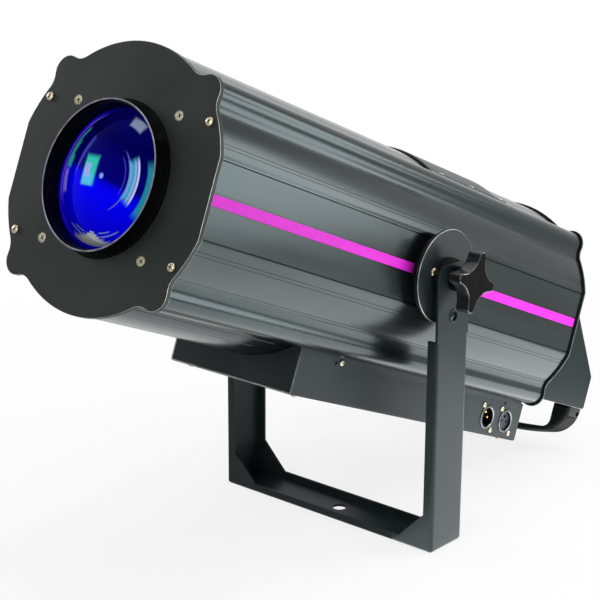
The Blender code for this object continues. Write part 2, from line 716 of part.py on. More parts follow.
def make_rear_panel(barrel, look):
    """Rear sheet with two ears, the fan grille, the display window and button holes."""
    outline = barrel_outline(-PANEL_OVERHANG)
    panel = prism_object("rear_panel", outline, PANEL_FRONT, PANEL_BACK, look, barrel)

    root_y = PANEL_BACK - PANEL_THICKNESS / 2
    bevel_y = EAR_BACK - EAR_CHAMFER
    ear = [(root_y, EAR_BOTTOM_Z), (bevel_y, EAR_BOTTOM_Z), (EAR_BACK, EAR_BOTTOM_Z + EAR_CHAMFER),
           (EAR_BACK, EAR_CORNER_Z), (PANEL_BACK, EAR_TOP_Z), (root_y, EAR_TOP_Z)]
    ears = bmesh.new()
    for _, sign in SIDES:
        near, far = sorted((sign * (EAR_X - EAR_SHEET), sign * EAR_X))
        add_prism(ears, ear, near, far, "x")
    combine(panel, ears, "UNION", "ears")

    tabs = bmesh.new()
    tab_front = EAR_BACK - EAR_CHAMFER - TAB_LENGTH
    for _, sign in SIDES:
        middle = sign * (EAR_X - EAR_SHEET / 2 - TAB_WIDTH / 2)
        tab = rectangle(TAB_WIDTH, TAB_LENGTH, (middle, tab_front + TAB_LENGTH / 2))
        add_prism(tabs, tab, EAR_BOTTOM_Z, EAR_BOTTOM_Z + EAR_SHEET, "z")
    combine(panel, tabs, "UNION", "tabs")

    start = PANEL_FRONT - CUT_OVERRUN
    end = PANEL_BACK + CUT_OVERRUN
    pitch = 2 * GRILLE_RADIUS / GRILLE_SLOTS
    holes = []
    for slot in range(GRILLE_SLOTS):
        height = (slot - (GRILLE_SLOTS - 1) / 2) * pitch
        reach = math.sqrt(GRILLE_RADIUS ** 2 - height ** 2)
        holes.append(rectangle(2 * reach - GRILLE_SLOT_HEIGHT, GRILLE_SLOT_HEIGHT,
                               (0, FAN_Z + height)))
    holes.append(rectangle(DISPLAY_WIDTH, DISPLAY_HEIGHT, (DISPLAY_X, DISPLAY_Z)))
    for x in BUTTON_COLUMNS:
        for z in BUTTON_ROWS:
            holes.append(circle(BUTTON_RADIUS + SCREW_CLEARANCE, SMALL_ROUND, (x, z)))
    cut_prisms(panel, "openings", holes, start, end)


def make_grip(barrel, look, inlay_look):
    """Moulded bridge grip below the ears, with an inlay let into its outer side."""
    outer = grip_outline(GRIP_HALF_WIDTH, GRIP_TOP_Z, GRIP_BOTTOM_Z, GRIP_CORNER_RADIUS,
                         GRIP_CROWN_RADIUS)
    inner = grip_outline(GRIP_OPENING_HALF_WIDTH, GRIP_TOP_Z, GRIP_OPENING_BOTTOM_Z,
                         GRIP_INNER_CORNER_RADIUS, GRIP_INNER_CROWN_RADIUS)
    grip = prism_object("rear_grip", outer + inner[::-1], GRIP_FRONT, GRIP_BACK, look, barrel)

    def strip(depth):
        path = grip_outline(GRIP_HALF_WIDTH - depth, INLAY_TOP_Z, GRIP_BOTTOM_Z + depth,
                            GRIP_CORNER_RADIUS - depth, GRIP_CROWN_RADIUS - depth)
        return [point for point in path if point[1] <= INLAY_TOP_Z]

    def band(outer_depth, inner_depth):
        return strip(outer_depth) + strip(inner_depth)[::-1]

    start = GRIP_FRONT + INLAY_MARGIN
    end = GRIP_BACK - INLAY_MARGIN
    pocket = band(-CUT_OVERRUN, INLAY_THICKNESS + SEAT_GAP)
    cut_prisms(grip, "inlay_pocket", [pocket], start - SEAT_GAP, end + SEAT_GAP)
    prism_object("grip_inlay", band(0, INLAY_THICKNESS), start, end, inlay_look, barrel)


# Electronics box and what is in its walls

def make_box(barrel, look):
    """Sheet tray under the housing, open upwards, that follows the housing's lower side."""
    back = BOX_FRONT + BOX_LENGTH
    top = -LOBE_Z
    tray = [(BOX_FRONT, BOX_BOTTOM_Z), (back, BOX_BOTTOM_Z), (back, top), (BOX_FRONT, top)]
    box = prism_object("electronics_box", tray, -BOX_HALF_WIDTH, BOX_HALF_WIDTH, look, barrel, "x")
    inside = BOX_HALF_WIDTH - BOX_SHEET
    hollow = [(BOX_FRONT + BOX_SHEET, BOX_BOTTOM_Z + BOX_SHEET),
              (back - BOX_SHEET, BOX_BOTTOM_Z + BOX_SHEET),
              (back - BOX_SHEET, top + CUT_OVERRUN), (BOX_FRONT + BOX_SHEET, top + CUT_OVERRUN)]
    cut_prisms(box, "hollow", [hollow], -inside, inside, "x")
    under_housing = [barrel_outline(HOUSING_INSET - SEAT_GAP)]
    cut_prisms(box, "housing_seat", under_housing, 0, PANEL_FRONT)
    under_panel = [barrel_outline(-PANEL_OVERHANG - SEAT_GAP)]
    cut_prisms(box, "panel_seat", under_panel, PANEL_FRONT - SEAT_GAP, PANEL_BACK + CUT_OVERRUN)

    sockets = [circle(SOCKET_RADIUS + SEAT_GAP, MEDIUM_ROUND, (y, SOCKET_Z))
               for y in (SOCKET_IN_Y, SOCKET_OUT_Y)]
    cut_prisms(box, "socket_holes", sockets, inside - CUT_OVERRUN, BOX_HALF_WIDTH + CUT_OVERRUN, "x")
    inlet = rectangle(INLET_BODY_WIDTH + 2 * SEAT_GAP, INLET_BODY_HEIGHT + 2 * SEAT_GAP,
                      (INLET_Y, INLET_Z))
    switch = rectangle(SWITCH_WIDTH + 2 * SWITCH_CLEARANCE, SWITCH_HEIGHT + 2 * SEAT_GAP,
                       (SWITCH_Y, INLET_Z))
    left = -BOX_HALF_WIDTH - CUT_OVERRUN
    cut_prisms(box, "left_holes", [inlet, switch], left, -inside + CUT_OVERRUN, "x")


def make_socket(name, y, cavity_radius, cavity_depth, barrel, look):
    """Round socket shell through the box wall, with its flange behind the wall."""
    face = BOX_HALF_WIDTH + SOCKET_LIP
    floor = BOX_HALF_WIDTH - SOCKET_DEPTH
    centre = (y, SOCKET_Z)
    profile = [(0, floor), (SOCKET_RADIUS, floor), (SOCKET_RADIUS, face), (cavity_radius, face),
               (cavity_radius, face - cavity_depth), (0, face - cavity_depth)]
    socket = turned_object(name, profile, look, barrel, "x", MEDIUM_ROUND, centre)
    flange_x = BOX_HALF_WIDTH - BOX_SHEET - SEAT_GAP
    width = SOCKET_FLANGE_WIDTH
    flange = bmesh.new()
    outline = rectangle(width, SOCKET_FLANGE_HEIGHT, centre)
    add_prism(flange, outline, flange_x - SOCKET_FLANGE_THICKNESS, flange_x, "x")
    combine(socket, flange, "UNION", "flange")
    return socket


def pin_places(y):
    """Two pins level with the centre and one above it."""
    return [polar(PIN_CIRCLE_RADIUS, turn * math.pi / 2, (y, SOCKET_Z)) for turn in range(3)]


def make_sockets(barrel, look):
    face = BOX_HALF_WIDTH + SOCKET_LIP
    male = make_socket("xlr_in", SOCKET_IN_Y, CUP_RADIUS, CUP_DEPTH, barrel, look)
    clear = bmesh.new()
    add_prism(clear, circle(CUP_RADIUS, MEDIUM_ROUND, (SOCKET_IN_Y, SOCKET_Z)), face - CUP_DEPTH,
              face + CUT_OVERRUN, "x")
    combine(male, clear, "DIFFERENCE", "cup")
    floor = face - CUP_DEPTH
    pins = [circle(PIN_RADIUS, PIN_ROUND, spot) for spot in pin_places(SOCKET_IN_Y)]
    join_prisms(male, "pins", pins, floor - CUT_OVERRUN, floor + PIN_LENGTH, "x")
    female = make_socket("xlr_out", SOCKET_OUT_Y, CUP_RADIUS, INSERT_RECESS, barrel, look)
    holes = [circle(PIN_RADIUS + SCREW_CLEARANCE, PIN_ROUND, spot)
             for spot in pin_places(SOCKET_OUT_Y)]
    cut_prisms(female, "pin_holes", holes, floor, face, "x")


def make_power_inlet(barrel, look):
    """Cold appliance inlet with its flange outside the left wall and three blades inside."""
    centre = (INLET_Y, INLET_Z)
    back = -BOX_HALF_WIDTH - SEAT_GAP
    face = back - INLET_FLANGE_THICKNESS
    outline = rectangle(INLET_FLANGE_WIDTH, INLET_FLANGE_HEIGHT, centre)
    inlet = prism_object("power_inlet", outline, face, back, look, barrel, "x")
    body = rectangle(INLET_BODY_WIDTH, INLET_BODY_HEIGHT, centre)
    join_prisms(inlet, "body", [body], back - INLET_FLANGE_THICKNESS / 2, face + INLET_BODY_DEPTH, "x")
    cavity = rectangle(INLET_CAVITY_WIDTH, INLET_CAVITY_HEIGHT, centre)
    floor = face + INLET_CAVITY_DEPTH
    cut_prisms(inlet, "cavity", [cavity], face - CUT_OVERRUN, floor, "x")
    blades = [rectangle(BLADE_WIDTH, BLADE_HEIGHT, (INLET_Y + step * BLADE_SPACING,
                                                    INLET_Z + (EARTH_RAISE if step == 0 else 0)))
              for step in (-1, 0, 1)]
    join_prisms(inlet, "blades", blades, face + CUT_OVERRUN, floor + CUT_OVERRUN, "x")


def make_power_switch(barrel, look):
    """Rocker that pivots across the left wall, drawn rocked to one side."""
    rock = math.radians(SWITCH_ROCK_DEGREES)
    half = SWITCH_WIDTH / 2
    slope = half * math.tan(rock)
    outline = [(-half, -SWITCH_PROUD - slope), (0, -SWITCH_PROUD), (half, -SWITCH_PROUD - slope),
               (half, SWITCH_THICKNESS / 2), (0, SWITCH_THICKNESS / 2 + slope),
               (-half, SWITCH_THICKNESS / 2)]
    outline = [(x, y) for y, x in outline]
    bm = bmesh.new()
    add_prism(bm, outline, -SWITCH_HEIGHT / 2, SWITCH_HEIGHT / 2, "z")
    switch = add_object("power_switch", bm, look, barrel)
    switch.location = (-BOX_HALF_WIDTH, SWITCH_Y, INLET_Z)
    switch.rotation_euler = (0, 0, rock)


def make_power_supply(barrel, look):
    bottom = BOX_BOTTOM_Z + BOX_SHEET + SEAT_GAP
    outline = rectangle(SUPPLY_WIDTH, SUPPLY_HEIGHT, (0, bottom + SUPPLY_HEIGHT / 2))
    prism_object("power_supply", outline, SUPPLY_FRONT, SUPPLY_FRONT + SUPPLY_LENGTH, look, barrel)


# Pivot hardware, one set a side

def make_pivot(side, sign, barrel, looks):
    """Spacer on the facet, disc, screws, stud and washer, all on the tilt axis."""
    centre = (PIVOT_FROM_FRONT, PIVOT_ABOVE_AXIS)

    def turned(name, profile, look, steps):
        points = [(radius, sign * along) for radius, along in profile]
        return turned_object(name + "_" + side, points, look, barrel, "x", steps, centre)

    near = HOUSING_FACET_X + SEAT_GAP
    far = SPACER_FACE_X
    head = far - STUD_HEAD_HEIGHT
    fit = STUD_RADIUS + SEAT_GAP
    turned("pivot_spacer",
           [(0, near), (SPACER_RADIUS, near), (SPACER_RADIUS, far),
            (STUD_HEAD_RADIUS + SEAT_GAP, far), (STUD_HEAD_RADIUS + SEAT_GAP, head - SEAT_GAP),
            (0, head - SEAT_GAP)], looks["black"], MEDIUM_ROUND)
    disc = turned("pivot_disc", [(fit, DISC_BACK_X), (DISC_RADIUS, DISC_BACK_X),
                                 (DISC_RADIUS, DISC_FACE_X), (fit, DISC_FACE_X)], looks["grey"], LARGE_ROUND)
    places = [polar(DISC_SCREW_PITCH, turn * math.pi, centre) for turn in range(2)]
    hole = SCREW_RADIUS + SCREW_CLEARANCE
    start, end = sorted((sign * (DISC_BACK_X - CUT_OVERRUN), sign * (DISC_FACE_X + CUT_OVERRUN)))
    cut_prisms(disc, "screw_holes", [circle(hole, SMALL_ROUND, spot) for spot in places], start, end, "x")
    spacer = bpy.data.objects["pivot_spacer_" + side]
    start, end = sorted((sign * (near + CUT_OVERRUN), sign * (far + CUT_OVERRUN)))
    cut_prisms(spacer, "screw_holes", [circle(hole, SMALL_ROUND, spot) for spot in places], start, end, "x")
    washer_back = DISC_FACE_X + SEAT_GAP
    washer_face = ARM_BACK_X - SEAT_GAP
    turned("washer", [(fit, washer_back), (WASHER_RADIUS, washer_back),
                      (WASHER_RADIUS, washer_face), (fit, washer_face)], looks["black"], MEDIUM_ROUND)
    shoulder = ARM_FACE_X + SEAT_GAP
    turned("pivot_stud",
           [(0, head), (STUD_HEAD_RADIUS, head), (STUD_HEAD_RADIUS, far), (STUD_RADIUS, far),
            (STUD_RADIUS, shoulder), (STUD_THREAD_RADIUS, shoulder),
            (STUD_THREAD_RADIUS, shoulder + STUD_THREAD_LENGTH),
            (0, shoulder + STUD_THREAD_LENGTH)], looks["steel"], MEDIUM_ROUND)
    seat = DISC_FACE_X + SEAT_GAP
    tip = near + CUT_OVERRUN + SEAT_GAP
    crown = seat + PAN_HEAD_HEIGHT
    profile = [(0, tip), (SCREW_RADIUS, tip), (SCREW_RADIUS, seat), (PAN_HEAD_RADIUS, seat),
               (PAN_HEAD_RADIUS, seat + PAN_EDGE_HEIGHT), (PAN_CROWN_RADIUS, crown - PAN_CROWN_DROP),
               (0, crown)]
    points = [(radius, sign * along) for radius, along in profile]
    for number, spot in enumerate(places, 1):
        name = "disc_screw_" + side + "_" + str(number)
        turned_object(name, points, looks["steel"], barrel, "x", SMALL_ROUND, spot)


def knob_outline():
    """Four lobes with round tips and hollow flanks that touch them."""
    chord = KNOB_TIP_CENTRE * math.cos(math.pi / 4)
    reach = KNOB_TIP_CENTRE ** 2
    offset = KNOB_VALLEY_RADIUS - KNOB_TIP_RADIUS
    hollow_centre = (reach - offset ** 2) / (2 * (chord - offset))
    hollow_radius = hollow_centre - KNOB_VALLEY_RADIUS
    points = []
    for lobe in range(4):
        turn = lobe * math.pi / 2
        tip = polar(KNOB_TIP_CENTRE, turn)
        before = polar(hollow_centre, turn - math.pi / 4)
        after = polar(hollow_centre, turn + math.pi / 4)
        following = polar(KNOB_TIP_CENTRE, turn + math.pi / 2)
        start = heading(tip, before)
        points += arc(tip, KNOB_TIP_RADIUS, start, turn, 3)[:-1]
        points += arc(tip, KNOB_TIP_RADIUS, turn, heading(tip, after), 3)
        points += arc(after, hollow_radius, heading(after, tip), heading(after, following), 5)[1:-1]
    return points


def scaled(outline, factor):
    return [(a * factor, b * factor) for a, b in outline]


def make_knob(side, sign, barrel, look):
    """Star knob: four-lobed head with softened edges, a hub, and a blind threaded bore."""
    outline = knob_outline()
    hub_x = ARM_FACE_X + SEAT_GAP
    head_x = KNOB_FACE_X - KNOB_THICKNESS
    soft = 1 - KNOB_EDGE / KNOB_TIP_CENTRE
    layers = [(head_x, soft), (head_x + KNOB_EDGE, 1), (KNOB_FACE_X - KNOB_EDGE, 1),
              (KNOB_FACE_X, soft)]
    bm = bmesh.new()
    rings = []
    for along, factor in layers:
        ring = [bm.verts.new((sign * along, a, b)) for a, b in scaled(outline, factor)]
        rings.append(ring)
    bm.faces.new(rings[0])
    bm.faces.new(rings[-1])
    for ring, after in zip(rings, rings[1:]):
        for index, corner in enumerate(ring):
            following = (index + 1) % len(ring)
            bm.faces.new((corner, ring[following], after[following], after[index]))
    knob = add_object("tilt_knob_" + side, bm, look, barrel)
    knob.location = (0, PIVOT_FROM_FRONT, PIVOT_ABOVE_AXIS)
    knob.rotation_euler = (math.radians(KNOB_TURN_DEGREES), 0, 0)
    start, end = sorted((sign * hub_x, sign * (head_x + KNOB_THICKNESS / 2)))
    hub = join_prisms(knob, "hub", [circle(KNOB_HUB_RADIUS, MEDIUM_ROUND)], start, end, "x")
    bore_end = ARM_FACE_X + STUD_THREAD_LENGTH + 3 * SEAT_GAP
    start, end = sorted((sign * (hub_x - CUT_OVERRUN), sign * bore_end))
    bore_outline = [circle(STUD_THREAD_RADIUS + SCREW_CLEARANCE, MEDIUM_ROUND)]
    bore = cut_prisms(knob, "bore", bore_outline, start, end, "x")
    for helper in (hub, bore):
        helper.rotation_euler = knob.rotation_euler


# Optics

def make_guide_rods(barrel, look):
    for side, sign in SIDES:
        outline = circle(ROD_RADIUS, SMALL_ROUND, (sign * ROD_X, 0))
        end = BULKHEAD_Y + BULKHEAD_THICKNESS
        prism_object("guide_rod_" + side, outline, HOUSING_FRONT, end, look, barrel)


def make_focus_carriage(barrel, look, lens_look):
    """Hoop with two arms that slide on the rods, and the lens seated in it."""
    half = CARRIAGE_THICKNESS / 2
    arms = rectangle(2 * CARRIAGE_HALF_WIDTH, 2 * CARRIAGE_ARM_HALF_HEIGHT)
    carriage = prism_object("focus_carriage", arms, -half, half, look, barrel)
    carriage.location = (0, CARRIAGE_Y, 0)
    lens_bore = FOCUS_LENS_RADIUS + SLIDING_CLEARANCE
    join_prisms(carriage, "hoop", [circle(CARRIAGE_HOOP_RADIUS, LARGE_ROUND)], -half, half)
    cut_prisms(carriage, "lens_bore", [circle(lens_bore, LARGE_ROUND)], -half - CUT_OVERRUN,
               half - FOCUS_SEAT_WIDTH)
    opening = [circle(FOCUS_LENS_RADIUS - FOCUS_SEAT_WIDTH, LARGE_ROUND)]
    cut_prisms(carriage, "opening", opening, -half, half + CUT_OVERRUN)
    rods = [circle(ROD_RADIUS + SLIDING_CLEARANCE, SMALL_ROUND, (sign * ROD_X, 0)) for _, sign in SIDES]
    cut_prisms(carriage, "rod_bores", rods, -half - CUT_OVERRUN, half + CUT_OVERRUN)

    back = half - FOCUS_SEAT_WIDTH - SEAT_GAP
    profile = lens_face(FOCUS_LENS_RADIUS, FOCUS_LENS_CROWN, back - FOCUS_LENS_EDGE, -1)
    profile += [(0, back), (FOCUS_LENS_RADIUS, back)]
    lens = turned_object("focus_lens", profile, lens_look, barrel, steps=LARGE_ROUND)
    lens.location = (0, CARRIAGE_Y, 0)


def make_bulkhead(barrel, look):
    """Plate across the housing with the aperture and the collar that the iris turns on."""
    inset = HOUSING_INSET + HOUSING_WALL + SEAT_GAP
    back = BULKHEAD_Y + BULKHEAD_THICKNESS
    plate = prism_object("bulkhead", barrel_outline(inset), BULKHEAD_Y, back, look, barrel)
    collar = [circle(COLLAR_RADIUS, MEDIUM_ROUND)]
    join_prisms(plate, "collar", collar, BULKHEAD_Y - COLLAR_LENGTH, BULKHEAD_Y + CUT_OVERRUN)
    start = BULKHEAD_Y - COLLAR_LENGTH - CUT_OVERRUN
    end = back + CUT_OVERRUN
    holes = [circle(APERTURE_RADIUS, MEDIUM_ROUND),
             circle(MOTOR_SHAFT_RADIUS + SEAT_GAP, SMALL_ROUND, (0, WHEEL_AXIS_Z))]
    holes += [circle(PORT_RADIUS + SEAT_GAP, SMALL_ROUND, centre)
              for centre in corners_of(OUTER_SCREW_X, OUTER_SCREW_Z)]
    holes += [circle(ROD_RADIUS + SLIDING_CLEARANCE, SMALL_ROUND, (sign * ROD_X, 0)) for _, sign in SIDES]
    cut_prisms(plate, "holes", holes, start, end)


def make_iris_ring(barrel, look):
    back = -SEAT_GAP
    front = back - IRIS_THICKNESS
    bore = COLLAR_RADIUS + SLIDING_CLEARANCE
    ring = turned_object("iris_ring", [(bore, front), (IRIS_RADIUS, front), (IRIS_RADIUS, back),
                                       (bore, back)], look, barrel, steps=MEDIUM_ROUND)
    ring.location = (0, BULKHEAD_Y, 0)
    lever_start = (bore + IRIS_RADIUS) / 2
    lever = rectangle(2 * IRIS_LEVER_HALF_WIDTH, IRIS_LEVER_RADIUS - lever_start,
                      (0, (IRIS_LEVER_RADIUS + lever_start) / 2))
    join_prisms(ring, "lever", [lever], front + IRIS_THICKNESS / 4, back - IRIS_THICKNESS / 4)


def make_colour_wheel(barrel, look):
    """Disc with a ring of windows, one on the optical axis, and a hub on the motor's shaft."""
    wheel_y = BULKHEAD_Y + BULKHEAD_THICKNESS + WHEEL_OFFSET
    wheel = turned_object(
        "colour_wheel",
        [(MOTOR_SHAFT_RADIUS + SEAT_GAP, -WHEEL_OFFSET / 2), (WHEEL_HUB_RADIUS, -WHEEL_OFFSET / 2),
         (WHEEL_HUB_RADIUS, 0), (WHEEL_RADIUS, 0), (WHEEL_RADIUS, WHEEL_THICKNESS),
         (MOTOR_SHAFT_RADIUS + SEAT_GAP, WHEEL_THICKNESS)], look, barrel, steps=LARGE_ROUND)
    wheel.location = (0, wheel_y, WHEEL_AXIS_Z)
    windows = []
    for window in range(WHEEL_WINDOWS):
        angle = math.pi / 2 + 2 * math.pi * window / WHEEL_WINDOWS
        windows.append(circle(WHEEL_WINDOW_RADIUS, SMALL_ROUND, polar(WHEEL_WINDOW_CIRCLE, angle)))
    cut_prisms(wheel, "windows", windows, -CUT_OVERRUN, WHEEL_THICKNESS + CUT_OVERRUN)


def make_wheel_motor(barrel, look):
    back = BULKHEAD_Y - SEAT_GAP
    body = rectangle(MOTOR_SIZE, MOTOR_SIZE, (0, WHEEL_AXIS_Z))
    motor = prism_object("wheel_motor", body, back - MOTOR_LENGTH, back, look, barrel)
    shaft = [circle(MOTOR_SHAFT_RADIUS, SMALL_ROUND, (0, WHEEL_AXIS_Z))]
    shaft_end = BULKHEAD_Y + BULKHEAD_THICKNESS + WHEEL_OFFSET + WHEEL_THICKNESS
    join_prisms(motor, "shaft", shaft, back - MOTOR_LENGTH / 2, shaft_end)


def make_light_engine(barrel, looks):
    """Finned heat sink hung between the facets, with the LED holder and condenser lens."""
    front = HEAT_SINK_FRONT
    half = HEAT_SINK_SIZE / 2
    end = front + HEAT_SINK_LENGTH
    slot = (HEAT_SINK_SIZE - (HEAT_SINK_SLOTS + 1) * HEAT_SINK_FIN) / HEAT_SINK_SLOTS
    comb = [(-half, front), (half, front), (half, end)]
    for index in range(HEAT_SINK_SLOTS):
        right = half - HEAT_SINK_FIN - index * (slot + HEAT_SINK_FIN)
        comb += [(right, end), (right, front + HEAT_SINK_BASE),
                 (right - slot, front + HEAT_SINK_BASE), (right - slot, end)]
    comb.append((-half, end))
    sink = prism_object("heat_sink", comb, -half, half, looks["aluminium"], barrel, "z")
    bar = rectangle(2 * (INNER_FACET_X - SEAT_GAP), 2 * MOUNT_BAR_HALF_HEIGHT)
    bar_front = front + (HEAT_SINK_BASE - MOUNT_BAR_THICKNESS) / 2
    join_prisms(sink, "mount_bar", [bar], bar_front, bar_front + MOUNT_BAR_THICKNESS)

    back = front - SEAT_GAP
    board = back - LED_BOARD_THICKNESS
    mouth = back - HOLDER_LENGTH
    bore = CONDENSER_RADIUS + SLIDING_CLEARANCE
    step_y = mouth + HOLDER_STEP
    inner = bore - HOLDER_STEP_WIDTH
    turned_object("led_module",
                  [(0, back), (LED_RADIUS, back), (LED_RADIUS, mouth), (bore, mouth),
                   (bore, step_y), (inner, step_y), (inner, board), (LED_DOME_RADIUS, board),
                   (LED_DOME_RADIUS, board - LED_DOME_HEIGHT / 2),
                   (LED_DOME_RADIUS / 2, board - LED_DOME_HEIGHT), (0, board - LED_DOME_HEIGHT)],
                  looks["black"], barrel, steps=MEDIUM_ROUND)
    lens_back = step_y - SEAT_GAP
    profile = lens_face(CONDENSER_RADIUS, CONDENSER_CROWN, lens_back - CONDENSER_EDGE, -1)
    profile += [(0, lens_back), (CONDENSER_RADIUS, lens_back)]
    turned_object("condenser_lens", profile, looks["glass"], barrel, steps=MEDIUM_ROUND)


def make_fan(barrel, looks):
    """Square frame behind the panel's grille, and a rotor with twisted blades."""
    back = PANEL_FRONT - SEAT_GAP
    front = back - FAN_DEPTH
    centre = (0, FAN_Z)
    frame = prism_object("fan_frame", rectangle(FAN_SIZE, FAN_SIZE, centre), front, back,
                         looks["black"], barrel)
    cut_prisms(frame, "bore", [circle(FAN_BORE_RADIUS, LARGE_ROUND, centre)], front - CUT_OVERRUN,
               back + CUT_OVERRUN)
    spider = bmesh.new()
    strut_front = back - FAN_STRUT_THICKNESS
    reach = FAN_BORE_RADIUS + FAN_STRUT_WIDTH
    add_prism(spider, circle(FAN_HUB_RADIUS, MEDIUM_ROUND, centre), strut_front, back - SEAT_GAP)
    hub_helper = combine(frame, spider, "UNION", "hub")
    for turn in range(3):
        angle = math.pi / 2 + turn * 2 * math.pi / 3
        side = angle + math.pi / 2
        half = FAN_STRUT_WIDTH / 2
        inner = polar(FAN_HUB_RADIUS / 2, angle, centre)
        outer = polar(reach, angle, centre)
        strut = [polar(half, side, inner), polar(-half, side, inner),
                 polar(-half, side, outer), polar(half, side, outer)]
        label = "strut_" + str(turn + 1)
        join_prisms(hub_helper, label, [strut], strut_front + SEAT_GAP, back - 2 * SEAT_GAP)

    rotor_back = strut_front - SEAT_GAP
    bm = bmesh.new()
    outline = []
    root = FAN_BLADE_ROOT_THICKNESS / 2 / FAN_HUB_RADIUS
    tip = FAN_BLADE_TIP_THICKNESS / 2 / FAN_BLADE_RADIUS
    for blade in range(FAN_BLADES):
        angle = 2 * math.pi * blade / FAN_BLADES
        gap = 2 * math.pi / FAN_BLADES
        outline.append(polar(FAN_HUB_RADIUS, angle - root))
        outline.append(polar(FAN_BLADE_RADIUS, angle - tip))
        outline.append(polar(FAN_BLADE_RADIUS, angle + tip))
        outline.append(polar(FAN_HUB_RADIUS, angle + root))
        outline.append(polar(FAN_HUB_RADIUS, angle + gap / 2))
    rings = []
    for layer in range(FAN_BLADE_LAYERS):
        share = layer / (FAN_BLADE_LAYERS - 1)
        twist = math.radians(FAN_BLADE_TWIST_DEGREES) * share
        y = -FAN_BLADE_DEPTH + share * FAN_BLADE_DEPTH
        turned = [polar(math.hypot(a, b), math.atan2(b, a) + twist) for a, b in outline]
        rings.append([bm.verts.new((a, y, b)) for a, b in turned])
    bm.faces.new(rings[0])
    bm.faces.new(rings[-1])
    for ring, after in zip(rings, rings[1:]):
        for index, corner in enumerate(ring):
            following = (index + 1) % len(ring)
            bm.faces.new((corner, ring[following], after[following], after[index]))
    add_object("fan_rotor", bm, looks["black"], barrel, (0, rotor_back, FAN_Z))


# Controls

def make_display(barrel, look):
    """Board behind the rear panel, with the window block that fills the cut-out."""
    seat = PANEL_FRONT - SEAT_GAP
    board_back = seat - DISPLAY_BEZEL_DEPTH
    board = rectangle(BOARD_WIDTH, BOARD_HEIGHT, (BOARD_CENTRE_X, DISPLAY_Z))
    display = prism_object("display", board, board_back - BOARD_THICKNESS, board_back, look, barrel)
    centre = (DISPLAY_X, DISPLAY_Z)
    bezel = rectangle(DISPLAY_WIDTH + 2 * DISPLAY_BEZEL, DISPLAY_HEIGHT + 2 * DISPLAY_BEZEL, centre)
    join_prisms(display, "bezel", [bezel], board_back - BOARD_THICKNESS / 2, seat)
    window = rectangle(DISPLAY_WIDTH - 2 * SEAT_GAP, DISPLAY_HEIGHT - 2 * SEAT_GAP, centre)
    join_prisms(display, "window", [window], board_back, PANEL_BACK - SEAT_GAP)


def make_buttons(barrel, look):
    """Round menu buttons, held behind the panel by a flange; each slides along Y."""
    seat = -PANEL_THICKNESS - SEAT_GAP
    inner = seat - BUTTON_FLANGE_THICKNESS
    profile = [(0, inner), (BUTTON_FLANGE_RADIUS, inner), (BUTTON_FLANGE_RADIUS, seat),
               (BUTTON_RADIUS, seat), (BUTTON_RADIUS, BUTTON_PROUD - BUTTON_EDGE),
               (BUTTON_RADIUS - BUTTON_EDGE, BUTTON_PROUD), (0, BUTTON_PROUD)]
    first = turned_object("menu_button_1", profile, look, barrel, steps=SMALL_ROUND)
    centres = [(x, z) for z in BUTTON_ROWS for x in BUTTON_COLUMNS]
    place_copies(first, centres)
    for number in range(1, len(centres) + 1):
        bpy.data.objects["menu_button_" + str(number)].location.y = PANEL_BACK


def main():
    for obj in list(bpy.data.objects):
        bpy.data.objects.remove(obj, do_unlink=True)

    def empty(name, parent, location, tilt=0.0):
        obj = link_object(name, None, parent, location)
        obj.rotation_euler = (tilt, 0, 0)
        return obj

    stand = empty("stand", None, (0, YOKE_CENTRE_Y, 0))
    tilt_axis = empty("tilt_axis", stand, (0, 0, PIVOT_HEIGHT), -math.radians(REST_TILT_DEGREES))
    barrel = empty("barrel_frame", tilt_axis, (0, -PIVOT_FROM_FRONT, -PIVOT_ABOVE_AXIS))

    grey = new_material("satin_grey", (0.070, 0.078, 0.080), 0.42, 0.4)
    plate = new_material("plate_grey", (0.050, 0.056, 0.058), 0.50, 0.4)
    black = new_material("black_plastic", (0.010, 0.010, 0.011), 0.45)
    magenta = new_material("magenta_strip", (0.750, 0.030, 0.440), 0.45)
    steel = new_material("bright_steel", (0.620, 0.600, 0.550), 0.30, 1.0)
    aluminium = new_material("bare_aluminium", (0.600, 0.610, 0.620), 0.40, 1.0)
    blue_glass = new_material("coated_glass", (0.020, 0.050, 0.520), 0.05)
    glass = new_material("clear_glass", (0.800, 0.880, 0.900), 0.05)
    board = new_material("display_black", (0.015, 0.020, 0.025), 0.20)
    cage = new_material("zinc_cage", (0.450, 0.460, 0.470), 0.45, 0.8)
    looks = {"black": black, "grey": grey, "steel": steel, "aluminium": aluminium, "glass": glass}

    make_yoke(stand, plate)
    make_housing(barrel, grey)
    make_stripes(barrel, magenta)
    make_front_plate(barrel, plate)
    make_plate_screws(barrel, steel)
    make_lens_tube(barrel, black)
    make_front_lens(barrel, blue_glass)
    make_lens_ring(barrel, black)
    make_top_hatch(barrel, grey)
    make_rear_panel(barrel, plate)
    make_grip(barrel, black, black)
    make_box(barrel, grey)
    make_sockets(barrel, black)
    make_power_inlet(barrel, black)
    make_power_switch(barrel, black)
    make_power_supply(barrel, cage)
    for side, sign in SIDES:
        make_pivot(side, sign, barrel, looks)
        make_knob(side, sign, barrel, black)
    make_guide_rods(barrel, steel)
    make_focus_carriage(barrel, black, glass)
    make_bulkhead(barrel, aluminium)
    make_iris_ring(barrel, black)
    make_colour_wheel(barrel, aluminium)
    make_wheel_motor(barrel, black)
    make_light_engine(barrel, looks)
    make_fan(barrel, looks)
    make_display(barrel, board)
    make_buttons(barrel, black)


main()
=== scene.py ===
# A stage followspot: a long extruded barrel, tilted in a folded yoke that stands on its base.
# Metres, +Z up. The lens faces -Y, the grip is at +Y, and the signal sockets are on the +X side.

import json
import math

import bmesh
import bpy
from mathutils import Matrix, Vector


